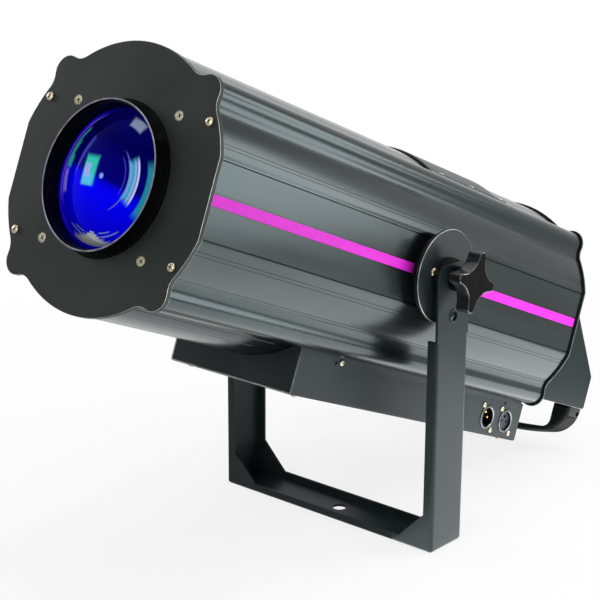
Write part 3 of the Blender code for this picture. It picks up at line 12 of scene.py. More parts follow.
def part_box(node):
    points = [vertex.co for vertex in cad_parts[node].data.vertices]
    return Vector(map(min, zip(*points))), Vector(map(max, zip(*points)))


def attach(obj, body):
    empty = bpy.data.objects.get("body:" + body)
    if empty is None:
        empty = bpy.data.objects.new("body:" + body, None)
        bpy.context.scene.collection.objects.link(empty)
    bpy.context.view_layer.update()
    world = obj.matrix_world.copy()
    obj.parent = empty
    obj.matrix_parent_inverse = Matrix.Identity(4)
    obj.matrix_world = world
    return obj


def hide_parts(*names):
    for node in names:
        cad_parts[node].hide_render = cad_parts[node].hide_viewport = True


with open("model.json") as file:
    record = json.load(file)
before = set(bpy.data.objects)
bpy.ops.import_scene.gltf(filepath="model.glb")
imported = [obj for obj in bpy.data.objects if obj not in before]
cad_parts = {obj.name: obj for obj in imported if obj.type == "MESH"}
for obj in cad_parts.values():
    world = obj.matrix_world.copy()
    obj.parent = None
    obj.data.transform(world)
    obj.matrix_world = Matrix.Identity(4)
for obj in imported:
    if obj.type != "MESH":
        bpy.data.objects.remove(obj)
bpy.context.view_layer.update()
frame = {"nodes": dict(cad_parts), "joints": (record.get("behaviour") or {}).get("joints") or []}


# --- Studio ---
# A floor of seamless paper that runs out into white, eight soft lamps round and over the light,
# one of them low on the floor, and the camera at the photograph's viewing angle.

def linear(shade):
    """The linear colour of an sRGB hex value such as "#a0b1c2"."""
    channels = [int(shade[place:place + 2], 16) / 255 for place in (1, 3, 5)]
    curve = [c / 12.92 if c <= 0.04045 else ((c + 0.055) / 1.055) ** 2.4 for c in channels]
    return (*curve, 1.0)


def feed(node, sockets):
    """Gives each socket a constant, another node's socket, or another node's first output."""
    for key, value in sockets.items():
        if isinstance(value, bpy.types.Node):
            value = value.outputs[0]
        if isinstance(value, bpy.types.NodeSocket):
            node.id_data.links.new(value, node.inputs[key])
        else:
            node.inputs[key].default_value = value


def add_node(tree, kind, sockets=None, **settings):
    """Adds a node with its settings, and feeds its sockets."""
    node = tree.nodes.new(kind)
    for name, value in settings.items():
        setattr(node, name, value)
    feed(node, sockets or {})
    return node


def add_object(name, data):
    item = bpy.data.objects.new(name, data)
    scene.collection.objects.link(item)
    return item


def background_rays(tree):
    """1 for the rays that show the white surroundings: camera, mirror and see-through rays."""
    path = add_node(tree, "ShaderNodeLightPath").outputs
    seen = add_node(tree, "ShaderNodeMath", {0: path["Is Camera Ray"], 1: path["Is Glossy Ray"]},
                    operation="ADD")
    return add_node(tree, "ShaderNodeMath", {0: seen, 1: path["Is Transmission Ray"]},
                    operation="ADD", use_clamp=True)


WHITE = (1, 1, 1, 1)
ROOM_LEVEL = 0.2
scene = bpy.context.scene
scene.view_settings.view_transform = "Standard"
scene.world = bpy.data.worlds.new("studio")
scene.world.use_nodes = True
room = scene.world.node_tree
room.nodes.clear()
dim, white = [add_node(room, "ShaderNodeBackground", {"Color": WHITE, "Strength": level})
              for level in (ROOM_LEVEL, 1.0)]
mixed = add_node(room, "ShaderNodeMixShader", {0: background_rays(room), 1: dim, 2: white})
add_node(room, "ShaderNodeOutputWorld", {"Surface": mixed})

# The paper is matt and keeps the shadow near the light. Further out it glows as white as the
# surroundings, so that no horizon shows.
FLOOR_HALF_SIZE = 9.0
FLOOR_DROP = 0.0002
FLOOR_SHADOW_REACH = 0.3
FLOOR_WHITE_REACH = 1.1
FLOOR_GLOW = 0.8
floor_mesh = bpy.data.meshes.new("floor")
floor_mesh.from_pydata([(x * FLOOR_HALF_SIZE, y * FLOOR_HALF_SIZE, 0)
                        for x, y in ((-1, -1), (1, -1), (1, 1), (-1, 1))], [], [(0, 1, 2, 3)])
floor = add_object("floor", floor_mesh)
floor.location.z = -FLOOR_DROP
paper = bpy.data.materials.new("white_seamless_paper")
paper.use_nodes = True
tree = paper.node_tree
tree.nodes.clear()
place = add_node(tree, "ShaderNodeTexCoord").outputs["Object"]
distance = add_node(tree, "ShaderNodeVectorMath", {0: place}, operation="LENGTH")
far = add_node(tree, "ShaderNodeMapRange",
               {"Value": distance.outputs["Value"], "From Min": FLOOR_SHADOW_REACH,
                "From Max": FLOOR_WHITE_REACH, "To Min": FLOOR_GLOW, "To Max": 1.0},
               interpolation_type="SMOOTHSTEP")
share = add_node(tree, "ShaderNodeMath", {0: far, 1: background_rays(tree)}, operation="MULTIPLY")
matt = add_node(tree, "ShaderNodeBsdfDiffuse", {"Color": linear("#f6f6f6")})
glow = add_node(tree, "ShaderNodeEmission", {"Color": WHITE, "Strength": 1.0})
blend = add_node(tree, "ShaderNodeMixShader", {0: share, 1: matt, 2: glow})
add_node(tree, "ShaderNodeOutputMaterial", {"Surface": blend})
floor_mesh.materials.append(paper)

# Each lamp: its spot, what it is turned towards, its width, its height and its power.
LAMPS = {"overhead": ((0.2, 0.1, 2.4), (0, 0, 0.25), 1.8, 1.8, 27),
         "right": ((1.9, -0.9, 0.8), (0, -0.1, 0.25), 0.6, 1.0, 4),
         "front": ((0.2, -2.2, 1.3), (0, -0.3, 0.35), 1.0, 0.8, 16),
         "left": ((-1.9, -0.3, 0.8), (0, 0, 0.25), 1.0, 0.8, 14),
         "high": ((1.2, 0.8, 1.45), (0, 0, 0.25), 0.9, 0.4, 7.5),
         "edge": ((1.0, 0.78, 0.2), (0, -0.2, 0.3), 0.5, 0.38, 5),
         "rear": ((0.8, 1.1, 0.62), (0, -0.2, 0.35), 0.4, 0.5, 4.5),
         "low": ((0.38, 0.12, 0.001), (0.38, 0.12, 1.0), 0.6, 0.6, 3.8)}
for name, (spot, target, width, height, power) in LAMPS.items():
    lamp = bpy.data.lights.new(name + "_softbox", "AREA")
    lamp.shape = "RECTANGLE"
    lamp.size, lamp.size_y, lamp.energy = width, height, power
    holder = add_object(name + "_softbox", lamp)
    way = Vector(spot) - Vector(target)
    holder.matrix_world = (Matrix.Translation(spot)
                           @ way.to_track_quat("Z", "Y").to_matrix().to_4x4())
    holder.visible_camera = False

CAMERA_SPOT = (0.88605, -1.07285, 0.61065)
CAMERA_YAW = 0.71327
CAMERA_PITCH = 0.28145
CAMERA_ROLL = 0.00486
CAMERA_LENS = 95.69
view = bpy.data.cameras.new("camera")
view.lens = CAMERA_LENS
view.sensor_width = 36
view.clip_start = 0.01
camera = add_object("camera", view)
camera.matrix_world = (Matrix.Translation(CAMERA_SPOT) @ Matrix.Rotation(CAMERA_YAW, 4, "Z")
                       @ Matrix.Rotation(math.pi / 2 - CAMERA_PITCH, 4, "X")
                       @ Matrix.Rotation(CAMERA_ROLL, 4, "Z"))
scene.camera = camera


# --- Yoke ---
# One folded steel sheet: a base, two arms, and a narrow flange all round its two long edges with
# a gusset in each corner. Powder coated dark grey, with a fine orange-peel skin.

mm = 0.001
WELD = 0.001 * mm
EDGE = 0.3 * mm
AXLE = (302.6 * mm, 1.5 * mm)
joints = {joint["name"]: joint for joint in frame["joints"]}
pivot = Vector(joints["tilt"]["pos_m"])
slide = joints["focus_slide"]["axis"]
rest_tilt = math.atan2(slide[2], slide[1])
barrel = (Matrix.Translation(pivot) @ Matrix.Rotation(rest_tilt, 4, "X")
          @ Matrix.Translation((0, -AXLE[0], -AXLE[1])))


def polar(radius, angle, centre=(0, 0)):
    return (centre[0] + radius * math.cos(angle), centre[1] + radius * math.sin(angle))


def circle(radius, steps, centre=(0, 0)):
    return [polar(radius, math.tau * step / steps, centre) for step in range(steps)]


def arc(centre, radius, start, end, steps):
    """Points from start to end, the short way round."""
    sweep = math.remainder(end - start, math.tau)
    return [polar(radius, start + sweep * step / steps, centre) for step in range(steps + 1)]


def place_across(a, b, along, axis):
    """A point of an outline that is drawn across one of the axes."""
    return {"x": (along, a, b), "y": (a, along, b), "z": (a, b, along)}[axis]


def band(bm, below, above, look=0):
    """Faces between two rings of corners, either of which may be one point."""
    for corners in zip(below, below[1:] + below[:1], above[1:] + above[:1], above):
        corners = list(dict.fromkeys(corners))
        if len(corners) > 2:
            bm.faces.new(corners).material_index = look


def drawn_inwards(outline, depth, hole):
    """The outline moved into the sheet: inwards, or outwards where it is a hole."""
    points = [Vector(point) for point in outline]
    following = points[1:] + points[:1]
    area = sum(p.x * q.y - q.x * p.y for p, q in zip(points, following))
    side = 1 if (area > 0) != hole else -1
    moved = []
    for before, point, after in zip(points[-1:] + points[:-1], points, following):
        first, second = (point - before).normalized(), (after - point).normalized()
        normal = Vector((-first.y - second.y, first.x + second.x))
        moved.append(point + side * normal * depth / (1 + first.dot(second)))
    return moved


def cut_sheet(bm, outline, start, end, axis="y", edge=EDGE, holes=(), edge_look=0, look=0):
    """A flat sheet with holes and its two faces at start and end. Its edges are rounded over, both
    alike or each by its own radius."""
    radii = edge if isinstance(edge, tuple) else (edge, edge)
    layers = []
    for face, inward, radius in zip((start, end), (1, -1), radii):
        turns = (0, math.pi / 4, math.pi / 2) if radius else (0,)
        layers.append([(face + inward * radius * (1 - math.cos(turn)),
                        radius * (1 - math.sin(turn))) for turn in turns])
    flank = len(layers[0]) - 1
    caps = ([], [])
    for loop, hole in [(outline, False)] + [(hole, True) for hole in holes]:
        rings = []
        for along, depth in layers[0] + layers[1][::-1]:
            points = drawn_inwards(loop, depth, hole) if depth else loop
            rings.append([bm.verts.new(place_across(*point, along, axis)) for point in points])
        for number, (below, above) in enumerate(zip(rings, rings[1:])):
            band(bm, below, above, look if number == flank else edge_look)
        for cap, ring in zip(caps, (rings[0], rings[-1])):
            cap.extend(bm.edges.get(pair) for pair in zip(ring, ring[1:] + ring[:1]))
    for cap in caps:
        filled = bmesh.ops.triangle_fill(bm, use_beauty=True, use_dissolve=False, edges=cap)
        for item in filled["geom"]:
            if isinstance(item, bmesh.types.BMFace):
                item.material_index = look


def settled(mesh, spot, sharp=20):
    """Puts a mesh in its place, smooth where it curves."""
    mesh.transform(spot)
    mesh.shade_smooth()
    mesh.set_sharp_from_angle(angle=math.radians(sharp))
    return mesh


def as_mesh(name, bm, spot=Matrix(), sharp=20):
    """Closes the work on one piece: corners joined, faces outwards, put in its place."""
    bmesh.ops.remove_doubles(bm, verts=bm.verts, dist=WELD)
    bmesh.ops.recalc_face_normals(bm, faces=bm.faces)
    mesh = bpy.data.meshes.new(name)
    bm.to_mesh(mesh)
    bm.free()
    return settled(mesh, spot, sharp)


def mount(name, shape, looks, slot, *nodes, body="barrel", spot=barrel, sharp=20):
    """Puts a finished piece in the scene, on its body, in place of the CAD nodes it stands for."""
    mesh = shape if isinstance(shape, bpy.types.Mesh) else as_mesh(name, shape, spot, sharp)
    for look in looks:
        mesh.materials.append(look)
    piece = add_object(name, mesh)
    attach(piece, body)
    if nodes:
        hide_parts(*nodes)


def start_look(name, sockets):
    """A new material, its shader, and its object coordinates turned to the barrel's axes."""
    look = bpy.data.materials.new(name)
    look.use_nodes = True
    shader = look.node_tree.nodes["Principled BSDF"]
    feed(shader, sockets)
    place = add_node(look.node_tree, "ShaderNodeTexCoord").outputs["Object"]
    return look, shader, add_node(look.node_tree, "ShaderNodeMapping",
                                  {"Vector": place, "Rotation": (-rest_tilt, 0, 0)})


def emboss(shader, spot, grain, height, detail=2.0):
    """Raises a noise on a skin, its features grain long and height high."""
    tree = shader.id_data
    skin = add_node(tree, "ShaderNodeTexNoise",
                    {"Vector": spot, "Scale": 1 / grain, "Detail": detail})
    feed(shader, {"Normal": add_node(tree, "ShaderNodeBump",
                                     {"Height": skin, "Distance": height, "Strength": 1.0})})


NOISE_LOW = 0.3
NOISE_HIGH = 0.7


def mottled(name, sockets, grain, low, high, roughness, stretch=(1, 1, 1), relief=None):
    """A material whose colour and roughness drift by a noise with features grain long, and whose
    skin has a finer relief of one grain and height."""
    look, shader, spot = start_look(name, sockets)
    tree = look.node_tree
    scaled = add_node(tree, "ShaderNodeMapping", {"Vector": spot, "Scale": stretch})
    noise = add_node(tree, "ShaderNodeTexNoise",
                     {"Vector": scaled, "Scale": 1 / grain, "Detail": 3.0})
    tones = add_node(tree, "ShaderNodeValToRGB", {0: noise})
    ends = zip(tones.color_ramp.elements, (NOISE_LOW, NOISE_HIGH), (low, high))
    for element, position, shade in ends:
        element.position, element.color = position, linear(shade)
    rough = add_node(tree, "ShaderNodeMapRange",
                     {"Value": noise, "From Min": NOISE_LOW, "From Max": NOISE_HIGH,
                      "To Min": roughness[0], "To Max": roughness[1]})
    feed(shader, {"Base Color": tones, "Roughness": rough})
    if relief:
        emboss(shader, spot, *relief)
    return look, shader, spot


def powder_coat(name, low, high, roughness=(0.34, 0.46), gloss=0.16):
    """Baked polyester powder: an even satin colour over an orange peel, drawn 1.2 mm wide."""
    return mottled(name, {"Specular IOR Level": gloss}, 40 * mm, low, high, roughness,
                   relief=(1.2 * mm, 0.03 * mm))[0]


def prisms(*jobs):
    """A mesh of plain prisms, each an outline, its two ends and the axis it runs along."""
    bm = bmesh.new()
    for outline, start, end, axis in jobs:
        cut_sheet(bm, outline, start, end, axis, 0)
    return as_mesh("prisms", bm)


def frozen(item):
    """The plain mesh of an object and its modifiers; the object itself goes."""
    bpy.context.view_layer.update()
    graph = bpy.context.evaluated_depsgraph_get()
    mesh = bpy.data.meshes.new_from_object(item.evaluated_get(graph))
    item.modifiers.clear()
    bpy.data.objects.remove(item)
    return mesh


def machined(name, mesh, cutter, edge, spot=barrel):
    """Cuts a shape out of a piece, breaks its sharp edges, and puts it in its place."""
    blank = add_object(name + "_blank", mesh)
    tool = add_object(name + "_cutter", cutter)
    cut = blank.modifiers.new("cut", "BOOLEAN")
    cut.object = tool
    cut.solver = "EXACT"
    if edge:
        bevel = blank.modifiers.new("edge", "BEVEL")
        bevel.width = edge
        bevel.segments = 2
        bevel.angle_limit = math.radians(35)
    done = frozen(blank)
    bpy.data.objects.remove(tool)
    return settled(done, spot)


yoke_paint = powder_coat("powder_coated_steel", "#182022", "#20282a", (0.28, 0.38), 0.1)
yoke_low, yoke_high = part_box("yoke")
SHEET = 2.5 * mm
BEND = 3.0 * mm
SHEET_EDGE = 0.4 * mm
FLANGE_REACH = 10.4 * mm
FLANGE_TOP = 196.5 * mm
BASE_FLANGE = 8.25 * mm
GUSSET = 26.4 * mm
GUSSET_STEPS = 4
ARM_CORNER = 12.7 * mm
FLAT_MARGIN = 0.8 * mm
PIVOT_HOLE = 5.25 * mm
LOCK_HOLE = 4.5 * mm
LOCK_RIM = 6.2 * mm
LOCK_RIM_HEIGHT = 0.8 * mm
LOCK_DROP = 33.5 * mm
BASE_HOLE = 6.7 * mm
half_depth = (yoke_high.y - yoke_low.y) / 2
yoke_y = (yoke_high.y + yoke_low.y) / 2
half_span = yoke_high.x - LOCK_RIM_HEIGHT


def yoke_stations():
    """Pairs of a point on the sheet's outer path and one on its flange's free edge."""
    inner = half_span - FLANGE_REACH
    gusset_top = BASE_FLANGE + GUSSET
    middle = (inner - GUSSET / 2, BASE_FLANGE + GUSSET / 2)
    pairs = [((half_span, z), (inner, z)) for z in (FLANGE_TOP, gusset_top)]
    for step in range(1, GUSSET_STEPS):
        share = step / GUSSET_STEPS
        z = gusset_top * (1 - share) + BEND * share
        free = (inner - GUSSET / 2 * share, BASE_FLANGE + GUSSET * (1 - share / 2))
        pairs.append(((half_span, z), free))
    pairs += [(point, middle) for point in arc((half_span - BEND, BEND), BEND, 0, -math.pi / 2, 6)]
    for step in range(1, GUSSET_STEPS + 1):
        share = step / GUSSET_STEPS
        x = (half_span - BEND) * (1 - share) + (inner - GUSSET) * share
        pairs.append(((x, 0), (middle[0] - GUSSET / 2 * share, middle[1] - GUSSET / 2 * share)))
    return pairs + [((-p[0], p[1]), (-q[0], q[1])) for p, q in reversed(pairs)]


def sheet_section(outer, free, normal):
    """The folded sheet's closed section at one station: web, round bends and two flanges."""
    section = []
    for thickness, edge in ((0, -SHEET_EDGE), (SHEET, SHEET_EDGE)):
        bend = BEND - thickness
        halves = []
        for sign in (-1, 1):
            points = [(outer + normal * thickness, sign * (half_depth - BEND - FLAT_MARGIN))]
            for step in range(4):
                angle = math.pi / 2 * step / 3
                point = outer + normal * (BEND - bend * math.cos(angle))
                points.append((point, sign * (half_depth - BEND + bend * math.sin(angle))))
            root, level = points[-1]
            rest = free - root
            points.append((root + rest * (FLAT_MARGIN / rest.length), level))
            points.append((root + rest * (1 - SHEET_EDGE / rest.length),
                           sign * (half_depth - thickness)))
            points.append((free, sign * (half_depth - thickness + edge)))
            halves.append(points)
        ring = halves[0][::-1] + halves[1]
        section += ring[::-1] if thickness else ring
    return section


bm = bmesh.new()
rings = []
for (x, z), free in yoke_stations():
    outer = Vector((x, z))
    inside = Vector((math.copysign(min(abs(x), half_span - BEND), x), max(z, BEND)))
    section = sheet_section(outer, Vector(free), (inside - outer).normalized())
    rings.append([bm.verts.new((p.x, yoke_y + y, p.y)) for p, y in section])
for ring, after in zip(rings, rings[1:]):
    band(bm, ring, after)
for ring in (rings[0], rings[-1]):
    bm.faces.new(ring)
base_hole = prisms((circle(BASE_HOLE, 48, (0, yoke_y)), -mm, BASE_FLANGE / 2, "z"))
channel = machined("drilled_channel", as_mesh("yoke_channel", bm), base_hole, 0, Matrix())
bm = bmesh.new()
bm.from_mesh(channel)
arm_foot = FLANGE_TOP - SHEET_EDGE
rounded = arc((half_depth - ARM_CORNER, yoke_high.z - ARM_CORNER), ARM_CORNER, 0, math.pi / 2, 10)
arm_outline = [(-half_depth, arm_foot), (half_depth, arm_foot)] + rounded
arm_outline += [(-y, z) for y, z in reversed(rounded)]
arm_outline = [(yoke_y + y, z) for y, z in arm_outline]
lock_centre = (yoke_y, pivot.z - LOCK_DROP)
lock_hole = circle(LOCK_HOLE, 40, lock_centre)
for sign in (1, -1):
    cut_sheet(bm, arm_outline, *sorted((sign * (half_span - SHEET), sign * half_span)), "x",
              SHEET_EDGE, [circle(PIVOT_HOLE, 40, (yoke_y, pivot.z)), lock_hole])
    cut_sheet(bm, circle(LOCK_RIM, 40, lock_centre),
              *sorted((sign * half_span, sign * (half_span + LOCK_RIM_HEIGHT))), "x",
              (0, EDGE)[::sign], [lock_hole])
mount("folded_yoke", bm, [yoke_paint], "yoke_paint", "yoke", body="yoke", spot=Matrix())


# --- Housing ---
# The barrel's body: one aluminium extrusion with four lobes, flat sides and scored lines that run
# its whole length. Satin anodised dark grey, with the die's faint streaks along it.

def span(node):
    """A CAD node's lowest and highest corners, measured in the barrel's own frame."""
    back = barrel.inverted()
    corners = [back @ vertex.co for vertex in frame["nodes"][node].data.vertices]
    return tuple(Vector(choose(corner[axis] for corner in corners) for axis in range(3))
                 for choose in (min, max))


TOP_RADIUS = 107.8 * mm
SIDE_RADIUS = 110.6 * mm
FACET_X = 106.1 * mm
LOBE = (76.8 * mm, 76.3 * mm)
LOBE_RADIUS = 13.1 * mm
LOBE_FILLET = 15.7 * mm
HOUSING_INSET = 1.3 * mm
HOUSING_WALL = 2.5 * mm
SEAT_GAP = 0.3 * mm
PANEL_SHEET = 4.0 * mm
PANEL_RIM = 1.2 * mm
PANEL_GAP = 0.1 * mm
CHANNEL_HALF_WIDTH = 5.3 * mm
CHANNEL_DEPTH = 1.1 * mm
SCORE_HALF_WIDTH = 0.5 * mm
SCORE_FLOOR = 0.6
SCORE_CLEARANCE = 1.3
SCORE_DEPTHS = (1.5 * mm, 0.35 * mm)
SCORED_AT = ((104.8, 29.4), (101.9, 38.4), (101.0, 41.2), (90.6, 61.2), (89.6, 63.4), (55.0, 90.9),
             (43.2, 97.3), (15.7, 105.3))


def heading(origin, target):
    return math.atan2(target[1] - origin[1], target[0] - origin[0])


def fillet_centre(arc_radius, side):
    """Centre of the fillet that touches a barrel arc and a lobe from outside."""
    reach = math.hypot(*LOBE)
    distance = arc_radius + LOBE_FILLET
    touch = LOBE_RADIUS + LOBE_FILLET
    spread = math.acos((distance ** 2 + reach ** 2 - touch ** 2) / (2 * distance * reach))
    return polar(distance, heading((0, 0), LOBE) + side * spread)


def barrel_quarter(inset, finish=1):
    """From the side facet's corner over the lobe to the top of the barrel."""
    low = fillet_centre(SIDE_RADIUS, -1)
    high = fillet_centre(TOP_RADIUS, 1)
    fillet = LOBE_FILLET + inset
    corner = math.acos((FACET_X - inset) / (SIDE_RADIUS - inset))
    low_angle = heading((0, 0), low)
    high_angle = heading((0, 0), high)
    points = arc((0, 0), SIDE_RADIUS - inset, corner, low_angle, 10 * finish)
    for centre, radius, start, end, steps in (
            (low, fillet, low_angle + math.pi, heading(low, LOBE), 6),
            (LOBE, LOBE_RADIUS - inset, heading(LOBE, low), heading(LOBE, high), 16),
            (high, fillet, heading(high, LOBE), high_angle + math.pi, 6),
            ((0, 0), TOP_RADIUS - inset, high_angle, math.pi / 2, 12)):
        points += arc(centre, radius, start, end, steps * finish)[1:]
    return points


def scored(points):
    """The quarter with a narrow groove cut in at each scored line."""
    marks = sorted(math.atan2(z, x) for x, z in SCORED_AT)
    turns = [math.atan2(z, x) for x, z in points]

    def at(angle, depth):
        for first, second, a, b in zip(points, points[1:], turns, turns[1:]):
            if a <= angle <= b:
                spot = Vector(first).lerp(Vector(second), (angle - a) / (b - a))
                return tuple(spot * (1 - depth / spot.length))
        return None

    kept = []
    for angle, point in zip(turns, points):
        clear = SCORE_CLEARANCE * SCORE_HALF_WIDTH / math.hypot(*point)
        if all(abs(angle - mark) > clear for mark in marks):
            kept.append((angle, point))
    half = SCORE_HALF_WIDTH / FACET_X
    for number, mark in enumerate(marks):
        deep = SCORE_DEPTHS[min(number, 1)]
        for share, depth in ((-1, 0), (-SCORE_FLOOR, deep), (SCORE_FLOOR, deep), (1, 0)):
            kept.append((mark + share * half, at(mark + share * half, depth)))
    return [point for angle, point in sorted(kept) if point]


def barrel_outline(inset, with_lines=False):
    """The whole cross-section; with lines, it is scored and has the stripe's channel each side."""
    quarter = barrel_quarter(inset)
    notch = []
    if with_lines:
        facet = FACET_X - inset
        below_first = (facet, SCORED_AT[0][1] * mm - 2 * SCORE_HALF_WIDTH)
        quarter = scored([below_first] + quarter)[1:]
        notch = [(facet, -CHANNEL_HALF_WIDTH), (facet - CHANNEL_DEPTH, -CHANNEL_HALF_WIDTH)]
        notch += [(x, -z) for x, z in reversed(notch)]
    upper = quarter + [(-x, z) for x, z in quarter[-2::-1]]
    return upper + [(-x, -z) for x, z in notch + upper] + notch


def node_tree(name, **inputs):
    """A new geometry tree with named inputs after the geometry, and the sockets that give them."""
    tree = bpy.data.node_groups.new(name, "GeometryNodeTree")
    for label, kind in {"Geometry": "Geometry", **inputs}.items():
        tree.interface.new_socket(label, in_out="INPUT", socket_type="NodeSocket" + kind)
    tree.interface.new_socket("Geometry", in_out="OUTPUT", socket_type="NodeSocketGeometry")
    return tree, add_node(tree, "NodeGroupInput").outputs


def close_tree(tree, geometry, look):
    """Ends a geometry tree: instances made real, and the material set."""
    real = add_node(tree, "GeometryNodeRealizeInstances", {"Geometry": geometry})
    dressed = add_node(tree, "GeometryNodeSetMaterial", {"Geometry": real, "Material": look})
    add_node(tree, "NodeGroupOutput", {"Geometry": dressed})


def grown(name, start, tree, inputs):
    """Runs a geometry tree over a starting mesh with these inputs, and gives what it makes."""
    seed = add_object(name + "_start", start)
    modifier = seed.modifiers.new("grow", "NODES")
    modifier.node_group = tree
    for socket in tree.interface.items_tree:
        if socket.name in inputs:
            modifier[socket.identifier] = inputs[socket.name]
    bm = bmesh.new()
    bm.from_mesh(frozen(seed))
    for face in bm.faces:
        face.material_index = 0
    return bm


def streaked_aluminium(name, low, high, roughness):
    """Satin anodised extrusion: metal under a grey film, streaked along the die's pull. The
    streaks are drawn 0.9 mm wide and 90 mm long, so that they show from a step away."""
    look, shader, spot = mottled(name, {"Metallic": 0.85, "Specular IOR Level": 0.2}, 30 * mm, low,
                                 high, roughness, stretch=(1, 0.12, 1))
    drawn = add_node(look.node_tree, "ShaderNodeMapping", {"Vector": spot, "Scale": (1, 0.01, 1)})
    emboss(shader, drawn, 0.9 * mm, 0.02 * mm, 3.0)
    return look


extrusion, given = node_tree("extrusion", Length="Float", Material="Material")
curves = add_node(extrusion, "GeometryNodeMeshToCurve", {0: given["Geometry"]})
filled = add_node(extrusion, "GeometryNodeFillCurve", {0: curves})
pull = add_node(extrusion, "ShaderNodeCombineXYZ", {"Z": given["Length"]})
pulled = add_node(extrusion, "GeometryNodeExtrudeMesh",
                  {"Mesh": filled, "Offset": pull, "Individual": False})
shell = add_node(extrusion, "GeometryNodeJoinGeometry", {0: pulled})
feed(shell, {0: add_node(extrusion, "GeometryNodeFlipFaces", {0: filled})})
welded = add_node(extrusion, "GeometryNodeMergeByDistance", {0: shell, "Distance": WELD})
close_tree(extrusion, welded, given["Material"])

anodised = streaked_aluminium("anodised_aluminium_extrusion", "#262c2d", "#2f3637", (0.17, 0.23))
housing_low, housing_high = span("housing")
panel_low, panel_high = span("rear_panel")
housing_end = panel_low.y + PANEL_SHEET - PANEL_RIM - PANEL_GAP
points, lines = [], []
for loop in (barrel_outline(HOUSING_INSET, True), barrel_outline(HOUSING_INSET + HOUSING_WALL)):
    first = len(points)
    points += [(x, z, 0) for x, z in loop]
    lines += [(first + n, first + (n + 1) % len(loop)) for n in range(len(loop))]
section = bpy.data.meshes.new("housing_section")
section.from_pydata(points, lines, [])
pulled_forward = (barrel @ Matrix.Translation((0, housing_end, 0))
                  @ Matrix.Rotation(math.pi / 2, 4, "X"))
housing = grown("housing_extrusion", section, extrusion,
                {"Length": housing_end - housing_low.y, "Material": anodised})
mount("housing_extrusion", housing, [anodised], "housing_anodised", "housing",
      spot=pulled_forward, sharp=24)


# --- Side stripes ---
# A magenta strip of cast vinyl each side, laid in the channel along the middle of the facet. Its
# colour is even, under a faint satin skin, and a dark gap shows along both its edges.

STRIPE_TRIM = 0.7 * mm
STRIPE_EDGE = 0.2 * mm
SIDES = (("right", 1), ("left", -1))
vinyl = mottled("cast_vinyl_magenta", {"Specular IOR Level": 0.1}, 12 * mm, "#b61eac", "#c024b6",
                (0.38, 0.5), (1, 0.2, 1))[0]
for side, sign in SIDES:
    low, high = span("stripe_" + side)
    below, above = low.z + STRIPE_TRIM, high.z - STRIPE_TRIM
    strip = [(low.y, below), (high.y, below), (high.y, above), (low.y, above)]
    bm = bmesh.new()
    cut_sheet(bm, strip, low.x, high.x, "x", (0, STRIPE_EDGE)[::sign])
    mount("side_stripe_" + side, bm, [vinyl], "stripe_magenta", "stripe_" + side)


# --- Front plate ---
# A 4 mm aluminium plate cut to the barrel's outline and anodised nearly black. Its milled edge
# shows a thin bright line.

TUBE_RADIUS = 62.2 * mm
INNER_SCREWS = (55.6 * mm, 55.6 * mm)
OUTER_SCREWS = (87.6 * mm, 54.5 * mm)
SUNK_HEAD = 3.6 * mm
PLATE_EDGES = (0.25 * mm, 0.4 * mm)
plate_low, plate_high = span("front_plate")


def metal(name, grain, low, high, roughness, stretch=(1, 1, 1)):
    """Bare or plated metal: it mirrors its surroundings in its own colour, a little blurred."""
    return mottled(name, {"Metallic": 1.0}, grain, low, high, roughness, stretch)[0]


def bare_edge(name, low, high):
    """Metal laid bare along a machined edge: it catches a thin bright line of light."""
    return metal(name, 6 * mm, low, high, (0.28, 0.42))


def corners_of(x, z):
    """The four mirrored places of one point."""
    return [(x, z), (-x, z), (-x, -z), (x, -z)]


plate_black = powder_coat("black_anodised_plate", "#151b18", "#1c2320", (0.36, 0.48))
milled = bare_edge("milled_aluminium_edge", "#7b8280", "#a3a9a7")
plate_holes = [circle(TUBE_RADIUS + SEAT_GAP, 128)]
plate_holes += [circle(SUNK_HEAD + SEAT_GAP, 24, spot) for spot in corners_of(*INNER_SCREWS)]
bm = bmesh.new()
cut_sheet(bm, barrel_outline(0), plate_low.y, plate_high.y, "y", PLATE_EDGES, plate_holes, 1)
mount("front_plate_sheet", bm, [plate_black, milled], "plate_paint", "front_plate")


# --- Screws of the front plate and the rear panel ---
# Steel screws with a cross recess, yellowish from their zinc passivation, with shade painted dark
# into the recess: pan heads at the corners, and countersunk heads that hold the lens tube's flange.

HEAD_STEPS = 32
CONE_TIP_SHARE = 0.45
FLANK_SHARE = 0.35
DOME_FALL = 0.72
ARM_SHARE = 0.2
# The recess at three levels: its reach, how deep it is and its arms' width, as shares.
RECESS = ((1.0, 0.0, 1.0), (0.9, 0.3, 0.9), (0.6, 1.0, 0.8))


